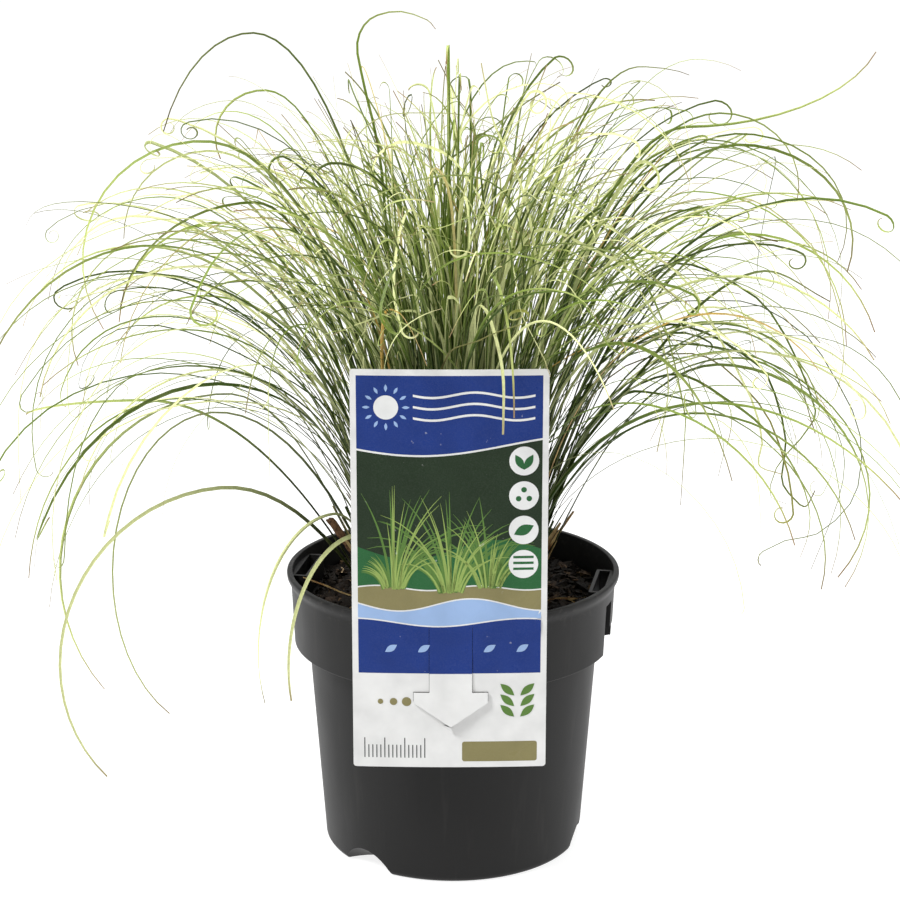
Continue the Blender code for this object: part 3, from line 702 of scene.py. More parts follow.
    def build(self) -> Thing:
        """Turn the pot, hollow it and cut it."""
        hollow = turned("pot hollow", self.mouth(), self.steps)
        boolean(hollow, "DIFFERENCE", [self.pocket_back(azimuth, 0.0) for azimuth in self.pockets]
                + [self.scoop(azimuth, self.wall) for azimuth in self.scoops])
        cuts = [hollow]
        for azimuth in self.pockets:
            cuts += self.pocket_cuts(azimuth)
        for azimuth in self.scoops:
            cuts += [self.scoop(azimuth, 0.0), self.drain(azimuth)]
        pot = turned("pot", self.outside(), self.steps)
        boolean(pot, "DIFFERENCE", cuts)
        pot = plain_mesh(pot, weld=2 * WELD)
        shade(pot, 32)
        dress(pot, PotPlastic().material())
        hand_in(pot, ["pot"])
        return pot


# Potting mix


class Litter(NamedTuple):
    """One kind of bit that lies on the mix: what its shards are like, and how they are strewn.

    Cuts is how finely a shard is divided. Margin is how far the middles stay from the wall, and spacing
    the least distance between two of them. Scale is the range of the draw of sizes, and tilt the most
    that a shard tips over, in radians.
    """

    name: str
    size: Colour
    kinds: int
    cuts: int
    margin: float
    spacing: float
    scale: Range
    tilt: float
    seed: int
    finish: str = "bark mix"


LITTER = (
    Litter("bark_chips", (0.0068, 0.0036, 0.0019), 9, 1, 0.0046, 0.0032, (0.50, 1.35), 0.45, 3),
    Litter("mix_crumbs", (0.0022, 0.0017, 0.0013), 6, 0, 0.0016, 0.0016, (0.6, 1.5), 1.2, 4),
    Litter("leaf_bits", (0.0070, 0.0009, 0.0005), 5, 1, 0.0045, 0.0095, (0.5, 1.6), 0.35, 6, "leaf bits"),
)

LITTER_STOPS = {
    "bark mix": ((0.0, (0.004, 0.003, 0.0025)), (0.50, (0.008, 0.006, 0.004)), (0.80, (0.017, 0.011, 0.007)),
                 (0.95, (0.036, 0.022, 0.013)), (1.0, (0.110, 0.070, 0.040))),
    "leaf bits": ((0.0, (0.100, 0.055, 0.028)), (0.5, (0.220, 0.140, 0.075)), (1.0, (0.420, 0.320, 0.200))),
}


@dataclass(frozen=True)
class PottingMix:
    """The mix that fills the pot: a body, a lumpy top, and bark chips, crumbs and bits that lie on it."""

    pot: Pot
    top: float = 0.1075
    bed_depth: float = 0.004
    body_drop: float = 0.003
    body_steps: int = 96
    lumps: float = 0.0022
    lump_size: float = 0.011
    crown_rise: float = 0.004
    wall_space: float = 0.0008
    pocket_margin: float = 0.001
    pocket_spread: float = 40.0
    bed_rings: int = 22
    bed_steps: int = 160
    litter_inner: float = 0.026

    def edge_radius(self, azimuth: float, margin: float) -> float:
        """How far out the surface reaches, behind the flat walls of the pockets too."""
        radius = self.pot.collar_top - self.pot.wall - self.wall_space
        flat = self.pot.pocket_wall - GAP
        half = self.pot.slot_half + self.pot.wall + self.pocket_margin
        for pocket in self.pot.pockets:
            off = math.radians(abs(angle_between(azimuth, pocket)))
            if off < math.radians(self.pocket_spread) and flat * math.tan(off) < half:
                radius = min(radius, flat / math.cos(off))
        return radius - margin

    def height(self, x: float, y: float) -> float:
        """The lumpy surface's height at a place, higher towards the crown."""
        place = Vector((x, y, 0.0)) / self.lump_size
        near = max(0.0, 1.0 - math.hypot(x, y) / self.edge_radius(0.0, 0.0))
        lump = noise.noise(place) + 0.5 * noise.noise(place * 2.7)
        return self.top + self.lumps * lump + self.crown_rise * near

    def surface(self, margin: float, inner: float = 0.0) -> Shape:
        """A round grid over the top of the mix, out to a margin from the wall, in from an inner radius."""
        shape = bmesh.new()
        rings = []
        for ring in range(1, self.bed_rings + 2):
            row = []
            for step in range(self.bed_steps):
                azimuth = 360 * step / self.bed_steps
                radius = blend(inner, self.edge_radius(azimuth, margin), ring / (self.bed_rings + 1))
                flat = round_z(azimuth, radius, 0.0)
                row.append(shape.verts.new((flat.x, flat.y, self.height(flat.x, flat.y))))
            rings.append(row)
        for low, high in zip(rings, rings[1:]):
            for step in range(self.bed_steps):
                after = (step + 1) % self.bed_steps
                shape.faces.new((low[step], high[step], high[after], low[after]))
        if not inner:
            shape.faces.new(rings[0])
        return shape

    def bed(self) -> Thing:
        """The closed, lumpy layer at the top."""
        shape = self.surface(0.0)
        rim = [edge for edge in shape.edges if edge.is_boundary]
        for item in bmesh.ops.extrude_edge_only(shape, edges=rim)["geom"]:
            if isinstance(item, bmesh.types.BMVert):
                item.co.z = self.top - self.bed_depth
        bmesh.ops.edgenet_fill(shape, edges=[edge for edge in shape.edges if edge.is_boundary])
        bmesh.ops.recalc_face_normals(shape, faces=shape.faces)
        bed = add_object("mix_surface", mesh_of("mix_surface", shape))
        shade(bed, 60)
        return bed

    def body(self) -> Thing:
        """The mix below, drawn in from the pot's wall, its pockets and its scoops."""
        profile = self.pot.inside(GAP, self.top - self.body_drop, self.edge_radius(30, 0.0))
        body = turned("potting_mix", profile, self.body_steps)
        boolean(body, "DIFFERENCE", [self.pot.pocket_back(azimuth, GAP) for azimuth in self.pot.pockets]
                + [self.pot.scoop(azimuth, self.pot.wall + GAP) for azimuth in self.pot.scoops])
        return plain_mesh(body, weld=WELD)

    def shards(self, kind: Litter) -> bpy.types.Collection:
        """A collection of ragged shards of one kind, as stock for the litter."""
        stock = bpy.data.collections.new(kind.name)
        draw = random.Random(SEED)
        for index in range(kind.kinds):
            shape = bmesh.new()
            bmesh.ops.create_cube(shape, size=1.0)
            if kind.cuts:
                bmesh.ops.subdivide_edges(shape, edges=shape.edges, cuts=kind.cuts, use_grid_fill=True)
            long, wide, thick = (part * draw.uniform(0.7, 1.3) for part in kind.size)
            for vert in shape.verts:
                ragged = 1.0 - abs(vert.co.x) * draw.uniform(0.2, 1.1)
                vert.co = Vector((vert.co.x * long * draw.uniform(0.85, 1.15),
                                  vert.co.y * wide * ragged * draw.uniform(0.8, 1.2),
                                  vert.co.z * thick * ragged * draw.uniform(0.7, 1.3)))
            name = f"{kind.name} {index}"
            stock.objects.link(bpy.data.objects.new(name, mesh_of(name, shape)))
        return stock

    def strewn(self, kind: Litter, tree: bpy.types.NodeTree, finish: Finish) -> Thing:
        """Strew one kind of bit over the top of the mix."""
        stock = self.shards(kind)
        ground = add_object(kind.name, mesh_of(kind.name, self.surface(kind.margin, self.litter_inner)))
        piece = grow(ground, tree, {
            "Pieces": stock, "Density": 2.0 / kind.spacing ** 2, "Spacing": kind.spacing, "Seed": kind.seed,
            "Smallest": kind.scale[0], "Largest": kind.scale[1], "Tilt": kind.tilt, "Finish": finish})
        for thing in list(stock.objects):
            bpy.data.objects.remove(thing, do_unlink=True)
        bpy.data.collections.remove(stock)
        return piece

    def build(self) -> list[Thing]:
        """Build the body, the bed and the litter."""
        finishes = {name: BarkLitter(name, stops).material() for name, stops in LITTER_STOPS.items()}
        pieces = [self.body(), self.bed()]
        for piece in pieces:
            dress(piece, finishes["bark mix"])
        tree = litter_tree()
        pieces += [self.strewn(kind, tree, finishes[kind.finish]) for kind in LITTER]
        for piece in pieces:
            hand_in(piece, ["potting_mix"])
        return pieces


# Label


class Ink(Enum):
    """The inks of the label's print, as linear colours."""

    BLUE = (0.009, 0.036, 0.215)
    SKY = (0.330, 0.480, 0.760)
    NIGHT = (0.014, 0.030, 0.012)
    FOREST = (0.022, 0.125, 0.038)
    GRASS = (0.110, 0.220, 0.045)
    LIME = (0.310, 0.430, 0.110)
    TAN = (0.255, 0.225, 0.098)
    WHITE = (0.830, 0.835, 0.830)
    SOOT = (0.030, 0.032, 0.035)


def wave(height: float, rise: float = 0.0, pace: float = 0.0, phase: float = 0.0) -> Edge:
    """An edge that waves about a height as x grows."""
    return lambda x: height + rise * math.sin(x * pace + phase)


def raised(edge: Edge, by: float) -> Edge:
    """An edge moved up."""
    return lambda x: edge(x) + by


def field(left: float, right: float, foot: Edge, top: Edge, steps: int = 32) -> Outline:
    """An area between two edges that are curves of x."""
    places = [blend(left, right, step / steps) for step in range(steps + 1)]
    return [(x, foot(x)) for x in places] + [(x, top(x)) for x in reversed(places)]


def oblong(left: float, right: float, foot: float, top: float, corner: float) -> Outline:
    """A rectangle with round corners, as (x, z)."""
    points: Outline = []
    for x, z, start in ((right - corner, top - corner, 0), (left + corner, top - corner, 90),
                        (left + corner, foot + corner, 180), (right - corner, foot + corner, 270)):
        points += arc((x, z), corner, start, start + 90, 4)
    return points


def disc(x: float, z: float, radius: float, steps: int = 40) -> Outline:
    """A round spot."""
    return arc((x, z), radius, 0, 360 - 360 / steps, steps - 1)


def blade(x: float, z: float, length: float, lean: float, width: float, steps: int = 9) -> Outline:
    """One drawn blade that rises and bows over to a side, as a tapering strip."""
    left: Outline = []
    right: Outline = []
    place = Vector((x, z))
    for step in range(steps + 1):
        share = step / steps
        heading = math.radians(90 - lean * (0.25 + 1.1 * share ** 1.3))
        ahead = Vector((math.cos(heading), math.sin(heading)))
        side = ahead.orthogonal() * (width / 2 * (1 - share ** 2) + 0.00004)
        left.append(tuple(place + side))
        right.append(tuple(place - side))
        place = place + ahead * length / steps
    return right + left[::-1]


def leaf_spot(x: float, z: float, length: float, width: float, turn: float, steps: int = 8) -> Outline:
    """A pointed leaf shape, turned about its foot."""
    shares = [step / steps for step in range(steps + 1)]
    points = [(length * share, width / 2 * math.sin(math.pi * share)) for share in shares]
    points += [(out, -off) for out, off in points[-2:0:-1]]
    cos, sin = math.cos(math.radians(turn)), math.sin(math.radians(turn))
    return [(x + out * cos - off * sin, z + out * sin + off * cos) for out, off in points]


@dataclass(frozen=True)
class Label:
    """The plant label: a card with a die-cut tab, a strip over the rim, and a plain printed design.

    A layer of print at or above the whole level lies clear of the tab's cut, and isn't cut.
    """

    left: float = CARD_LOW.x
    right: float = CARD_HIGH.x
    foot: float = CARD_LOW.z
    top: float = CARD_HIGH.z
    front: float = CARD_LOW.y
    thickness: float = 0.0006
    corner: float = 0.0012
    border: float = 0.0024
    bow: float = 0.0013
    print_step: float = 0.00003
    whole_level: int = 4
    mesh_step: float = 0.0045
    arrow_centre: float = -0.0010
    arrow_top: float = 0.118
    arrow_shoulder: float = 0.0905
    arrow_ear: float = 0.0865
    arrow_tip: float = 0.0765
    arrow_stem: float = 0.0085
    arrow_head: float = 0.0148
    die_cut: float = 0.00015
    tab_lift: float = 0.0024
    strip_centre: float = -0.0111
    strip_half: float = 0.006
    strip_place: float = -0.0630
    strip_foot: float = 0.098
    strip_bend: float = 0.0008
    crumple: Spot = (0.0352, 0.1190)
    crumple_size: float = 0.0026
    crumple_height: float = 0.0010
    mounds: tuple[tuple[float, float, float], ...] = (
        (-0.0235, 0.1335, 1.0), (-0.0010, 0.1320, 1.0), (0.0140, 0.1340, 0.8))
    signs: tuple[Spot, ...] = tuple((0.0275, 0.1860 - 0.0140 * row) for row in range(4))
    sun_height: float = 0.2075

    def arrow(self, grow: float) -> Outline:
        """The tab's outline, a stem over an arrow head, with its sides moved out."""
        stem = self.arrow_stem + grow
        head = self.arrow_head + grow
        shoulder = self.arrow_shoulder + grow
        half = [(stem, self.arrow_top), (stem, shoulder), (head, shoulder), (head, self.arrow_ear)]
        points = [(-x, z) for x, z in half] + [(0.0, self.arrow_tip - grow)] + half[::-1]
        return [(self.arrow_centre + x, z) for x, z in points]

    def on_tab(self, x: float, z: float) -> bool:
        """Whether a place lies on the tab."""
        if not self.arrow_tip - self.die_cut < z < self.arrow_top:
            return False
        if z > self.arrow_shoulder + self.die_cut / 2:
            half = self.arrow_stem
        else:
            share = (z - self.arrow_tip) / (self.arrow_ear - self.arrow_tip)
            half = self.arrow_head * max(0.0, min(1.0, share))
        return abs(x - self.arrow_centre) < half + self.die_cut / 2

    def bend(self, point: Vector) -> None:
        """Move a point of the flat card to where the bowed, crumpled card has it."""
        middle = (self.left + self.right) / 2
        half = (self.right - self.left) / 2
        point.y += self.bow * ((point.x - middle) / half) ** 2
        if self.on_tab(point.x, point.z):
            point.y -= self.tab_lift * ((self.arrow_top - point.z) / (self.arrow_top - self.arrow_tip)) ** 2
        off = math.hypot(point.x - self.crumple[0], (point.z - self.crumple[1]) * 0.8) / self.crumple_size
        point.y -= self.crumple_height * math.exp(-off * off) * math.cos(off * 1.6)

    def settle(self, piece: Thing) -> Thing:
        """Cut a flat piece of the card into small faces, and bend it with the card."""
        with opened(piece.data) as shape:
            for axis, low, high in ((0, self.left, self.right), (2, self.foot, self.top)):
                across = Vector((0.0, 0.0, 0.0))
                across[axis] = 1.0
                for step in range(1, int((high - low) / self.mesh_step)):
                    bmesh.ops.bisect_plane(shape, geom=[*shape.verts, *shape.edges, *shape.faces],
                                           plane_co=across * (low + step * self.mesh_step), plane_no=across)
            for vert in shape.verts:
                self.bend(vert.co)
            bmesh.ops.recalc_face_normals(shape, faces=shape.faces)
        shade(piece, 30)
        return piece

    def upright(self, name: str, outline: Outline, front: float, back: float) -> Thing:
        """An outline in (x, z) as a flat solid that stands between two depths."""
        thing = flat_solid(name, outline, back - front)
        thing.data.transform(Matrix.Translation((0.0, (front + back) / 2, 0.0))
                             @ Matrix.Rotation(math.pi / 2, 4, "X"))
        return thing

    def slit(self) -> Thing:
        """The die-cut line round the tab, as a cutter."""
        outline = self.arrow(self.die_cut) + self.arrow(0.0)[::-1]
        return self.upright("slit", outline, self.front - 0.002, self.front + 0.002)

    def strip(self) -> Thing:
        """The strip that folds back over the rim and hangs in a pocket."""
        half = self.thickness / 2
        card, bend, low, high = self.front + half, self.strip_bend, RIM + GAP, RIM + GAP + self.thickness
        inner, outer = self.strip_place - half, self.strip_place + half
        outline = [(card, low), (inner - bend, low), (inner, low - bend), (inner, self.strip_foot),
                   (outer, self.strip_foot), (outer, low), (outer - bend / 2, low + self.thickness * 0.8),
                   (outer - bend, high), (card, high)]
        strip = flat_solid("strip", outline, self.strip_half * 2)
        strip.data.transform(Matrix(((0, 0, 1, self.strip_centre), (1, 0, 0, 0), (0, 1, 0, 0), (0, 0, 0, 1))))
        return strip

    def card(self) -> Thing:
        """The card with its strip."""
        outline = oblong(self.left, self.right, self.foot, self.top, self.corner)
        card = self.upright("label", outline, self.front, self.front + self.thickness)
        boolean(card, "DIFFERENCE", [self.slit()])
        self.settle(card)
        boolean(card, "UNION", [self.strip()])
        shade(card, 30)
        dress(card, CardStock("label card", (0.82, 0.82, 0.81)).material())
        return card

    def ink_piece(self, ink: Ink, name: str, level: int, *outlines: Outline) -> Thing:
        """One ink's areas as a thin printed layer, cut where the tab is cut."""
        front = self.front - level * self.print_step
        shape = bmesh.new()
        for outline in outlines:
            face = shape.faces.new([shape.verts.new((x, front, z)) for x, z in outline])
            for item in bmesh.ops.extrude_face_region(shape, geom=[face])["geom"]:
                if isinstance(item, bmesh.types.BMVert):
                    item.co.y = self.front + self.print_step
        bmesh.ops.recalc_face_normals(shape, faces=shape.faces)
        triangulate_caps(shape)
        piece = add_object(name, mesh_of(name, shape))
        heights = [vert.co.z for vert in piece.data.vertices]
        if min(heights) < self.arrow_top and max(heights) > self.arrow_tip and level < self.whole_level:
            boolean(piece, "DIFFERENCE", [self.slit()])
        self.settle(piece)
        dress(piece, CardStock(f"ink {name}", ink.value, roughness=0.30).material())
        return piece

    def grass(self, count: int, seed: int, shortest: float, longest: float, width: float) -> list[Outline]:
        """Drawn blades in three mounds across the picture, which stop short of its sides."""
        draw = random.Random(seed)
        blades = []
        for index in range(count):
            mound, foot, size = self.mounds[index % 3]
            lean = draw.uniform(-88, 88)
            reach = draw.uniform(shortest, longest) * size
            x = mound + lean / 88 * 0.0045
            if abs(lean) > 25:
                side = self.right - x if lean > 0 else x - self.left
                reach = min(reach, (side - self.border - 0.0005) * 1.25)
            blades.append(blade(x, foot + draw.uniform(0.0, 0.0012), reach, lean, width))
        return blades

    def sprouts(self) -> list[Outline]:
        """What the four signs show: a sprout, three drops, a leaf and three rows of soil."""
        (x1, z1), (x2, z2), (x3, z3), (x4, z4) = self.signs
        return [
            *[leaf_spot(x1, z1 - 0.0035, 0.0070, 0.0030, turn) for turn in (60, 120)],
            *[disc(x2 + 0.0024 * math.cos(turn), z2 + 0.0024 * math.sin(turn), 0.0011, 16)
              for turn in (1.57, 3.67, 5.76)],
            leaf_spot(x3 - 0.0038, z3 - 0.0018, 0.0085, 0.0042, 25),
            *[field(x4 - 0.0040, x4 + 0.0040, wave(z4 - 0.0024 + row), wave(z4 - 0.0014 + row), 4)
              for row in (0.0, 0.0024, 0.0048)],
        ]

    def areas(self) -> list[tuple]:
        """The design: each layer's ink, name, level and outlines."""
        left, right, top = self.left + self.border, self.right - self.border, self.top - self.border
        pace = math.pi * 1.1 / (right - left)
        header = wave(0.1925, -0.0040, pace, 0.4 - left * pace)
        ground = wave(0.1345, 0.0010, 160)
        hills = wave(0.1275, 0.0026, 110, 0.8)
        band = wave(0.1195, 0.0016, 95, -1.0)
        sun = left + 0.0115
        rays = [leaf_spot(sun + 0.0062 * math.cos(math.radians(turn)),
                          self.sun_height + 0.0062 * math.sin(math.radians(turn)), 0.0030, 0.0012, turn)
                for turn in range(0, 360, 30)]
        breeze = [field(left + 0.022, right - 0.003, wave(z, 0.0011, 190), wave(z + 0.0009, 0.0011, 190))
                  for z in (0.2030, 0.2075, 0.2120)]
        sprig = [leaf_spot(0.0255 + 0.0012 * side, 0.0800 + 0.0045 * row, 0.0075, 0.0030, 90 - side * 48)
                 for row in range(3) for side in (-1, 1)]
        seeds = [leaf_spot(-0.0270 + 0.0130 * step, 0.1075, 0.0056, 0.0026, 32) for step in (0, 1, 3, 4)]
        drops = [disc(-0.0290 + 0.0052 * step, 0.0865, 0.0011 + 0.0004 * step, 20) for step in range(3)]
        ticks = [oblong(left + 0.0020 + 0.0016 * step, left + 0.0024 + 0.0016 * step, 0.0625,
                        0.0680 if step % 5 else 0.0710, 0.0001) for step in range(16)]
        return [
            (Ink.BLUE, "label_blue", 1, field(left, right, header, wave(top)),
             field(left, right, wave(0.0985), band)),
            (Ink.NIGHT, "label_picture", 1, field(left, right, ground, raised(header, -0.0008))),
            (Ink.FOREST, "label_forest", 2, field(left, right, ground, wave(0.150, 0.004, 90))),
            (Ink.TAN, "label_tan", 1, field(left, right, hills, raised(ground, -0.0006)),
             oblong(0.0035, 0.0335, 0.0610, 0.0695, 0.0010)),
            (Ink.SKY, "label_hills", 1, field(left, right, raised(band, 0.0006), raised(hills, -0.0006))),
            (Ink.GRASS, "label_blades_dark", 3, *self.grass(66, 5, 0.020, 0.046, 0.0010)),
            (Ink.LIME, "label_blades_pale", 4, *self.grass(54, 9, 0.018, 0.044, 0.0007)),
            (Ink.WHITE, "label_white", 5, *[disc(x, z, 0.0058) for x, z in self.signs],
             disc(sun, self.sun_height, 0.0048), *breeze),
            (Ink.SKY, "label_rays", 2, *rays),
            (Ink.FOREST, "label_sprouts", 6, *self.sprouts()),
            (Ink.GRASS, "label_sprig", 4, *sprig),
            (Ink.SKY, "label_seeds", 4, *seeds),
            (Ink.TAN, "label_drops", 4, *drops),
            (Ink.SOOT, "label_ticks", 1, *ticks),
        ]

    def build(self) -> list[Thing]:
        """Build the card and its printed layers."""
        pieces = [self.card(), *[self.ink_piece(*area) for area in self.areas()]]
        for piece in pieces:
            hand_in(piece, ["label"])
        return pieces


# Leaves


class Leaf(NamedTuple):
    """One arched leaf: where it rises, the top of its arch, how its tip hangs, and its looks."""

    azimuth: float
    root_radius: float
    apex_radius: float
    apex_height: float
    fall_reach: float
    fall_drop: float
    turn: float
    width: float = 0.0013
    tone: float = 0.5


class Traced(NamedTuple):
    """A leaf that stands out singly: points in millimetres that it passes from its root, and its looks.

    Curl is how far its tip winds on, in degrees. Shown is how much of a leaf's colours, from the foot up,
    it has.
    """

    points: tuple[tuple[int, int, int], ...]
    width: float
    tone: float
    dead: float = 0.0
    curl: float = 0.0
    shown: float = 1.0


class Habit(NamedTuple):
    """A kind of leaf that rises, droops and swings as it grows, as ranges for a seeded draw.

    The angles are in degrees: rise above the horizon at the root, and droop from there to the tip. The
    droop gathers towards the tip by its power.
    """

    count: int
    root: Range
    rise: Range
    length: Range
    droop: Range
    power: Range
    swing: float
    wave: float
    width: Range


class Stream(Enum):
    """The seeded draws of a tuft, each apart from the others."""

    LINES = 1
    FINE = 100
    SHEATHS = 200
    LOOKS = 300
    TRACED = 400

    def draw(self, index: int) -> random.Random:
        """The draw of one tuft."""
        return random.Random(SEED * self.value + index)


class Strand(NamedTuple):
    """A leaf ready to be swept: its line, how wide it is, and the numbers that its finish reads."""

    line: list[Vector]
    side: Vector
    width: float
    tone: float
    dead: float = 0.0
    twist: float = 0.0
    shown: float = 1.0


SOLID_HABITS = (
    Habit(17, (0.003, 0.028), (79, 95), (0.19, 0.27), (10, 100), (2.0, 4.0), 8, 3, (0.0009, 0.0013)),
    Habit(7, (0.010, 0.032), (74, 88), (0.22, 0.34), (95, 165), (1.6, 2.6), 10, 4, (0.0008, 0.0012)),
    Habit(5, (0.018, 0.034), (72, 86), (0.22, 0.33), (110, 165), (1.2, 1.8), 10, 4, (0.0008, 0.0011)),
)

FINE_HABITS = (
    Habit(38, (0.002, 0.028), (72, 106), (0.16, 0.27), (15, 120), (1.8, 4.0), 32, 9, (0.0005, 0.0010)),
    Habit(6, (0.006, 0.032), (73, 92), (0.20, 0.35), (95, 180), (1.5, 2.8), 30, 10, (0.0004, 0.0008)),
    Habit(3, (0.016, 0.034), (70, 86), (0.20, 0.33), (100, 170), (1.2, 1.9), 30, 12, (0.0004, 0.0007)),
    Habit(2, (0.018, 0.034), (66, 82), (0.28, 0.37), (130, 185), (1.3, 2.0), 26, 14, (0.0004, 0.0006)),
)

# The long leaves that make the outline
LONG_LEAVES = (
    Leaf(184, 0.012, 0.101, 0.301, 0.049, 0.050, 122, 0.0014, 0.60),
    Leaf(176, 0.020, 0.119, 0.276, 0.050, 0.053, 80, 0.0014, 0.35),
    Leaf(190, 0.018, 0.113, 0.267, 0.042, 0.041, 108, 0.0013, 0.70),
    Leaf(178, 0.010, 0.080, 0.343, 0.042, 0.075, 62, 0.0020, 0.05),
    Leaf(172, 0.015, 0.077, 0.319, 0.021, 0.020, 115, 0.0013, 0.55),
    Leaf(262, 0.010, 0.015, 0.340, 0.004, 0.006, 100, 0.0015, 0.45),
    Leaf(276, 0.012, 0.024, 0.330, 0.004, 0.006, 90, 0.0015, 0.20),
    Leaf(3, 0.020, 0.095, 0.305, 0.078, -0.040, 75, 0.0014, 0.30),
    Leaf(355, 0.018, 0.115, 0.300, 0.046, 0.040, 106, 0.0014, 0.15),
    Leaf(6, 0.022, 0.101, 0.298, 0.057, 0.066, 98, 0.0014, 0.55),
    Leaf(350, 0.025, 0.120, 0.266, 0.054, 0.058, 70, 0.0013, 0.40),
    Leaf(348, 0.030, 0.097, 0.221, 0.075, 0.062, 122, 0.0014, 0.30),
    Leaf(340, 0.032, 0.080, 0.203, 0.078, 0.064, 100, 0.0015, 0.20),
    Leaf(346, 0.033, 0.112, 0.214, 0.060, 0.060, 120, 0.0014, 0.60),
    Leaf(183, 0.034, 0.128, 0.194, 0.048, 0.006, 85, 0.0015, 0.62),
    Leaf(187, 0.034, 0.094, 0.198, 0.070, 0.077, 130, 0.0015, 0.66),
    Leaf(197, 0.034, 0.099, 0.163, 0.068, 0.072, 132, 0.0016, 0.80),
    Leaf(193, 0.030, 0.100, 0.193, 0.043, 0.069, 150, 0.0015, 0.68),
    Leaf(222, 0.030, 0.055, 0.145, 0.034, 0.050, 105, 0.0018, 0.80),
    Leaf(208, 0.030, 0.056, 0.151, 0.034, 0.056, 112, 0.0016, 0.80),
    Leaf(286, 0.020, 0.052, 0.256, 0.032, 0.050, 90, 0.0014, 0.60),
)

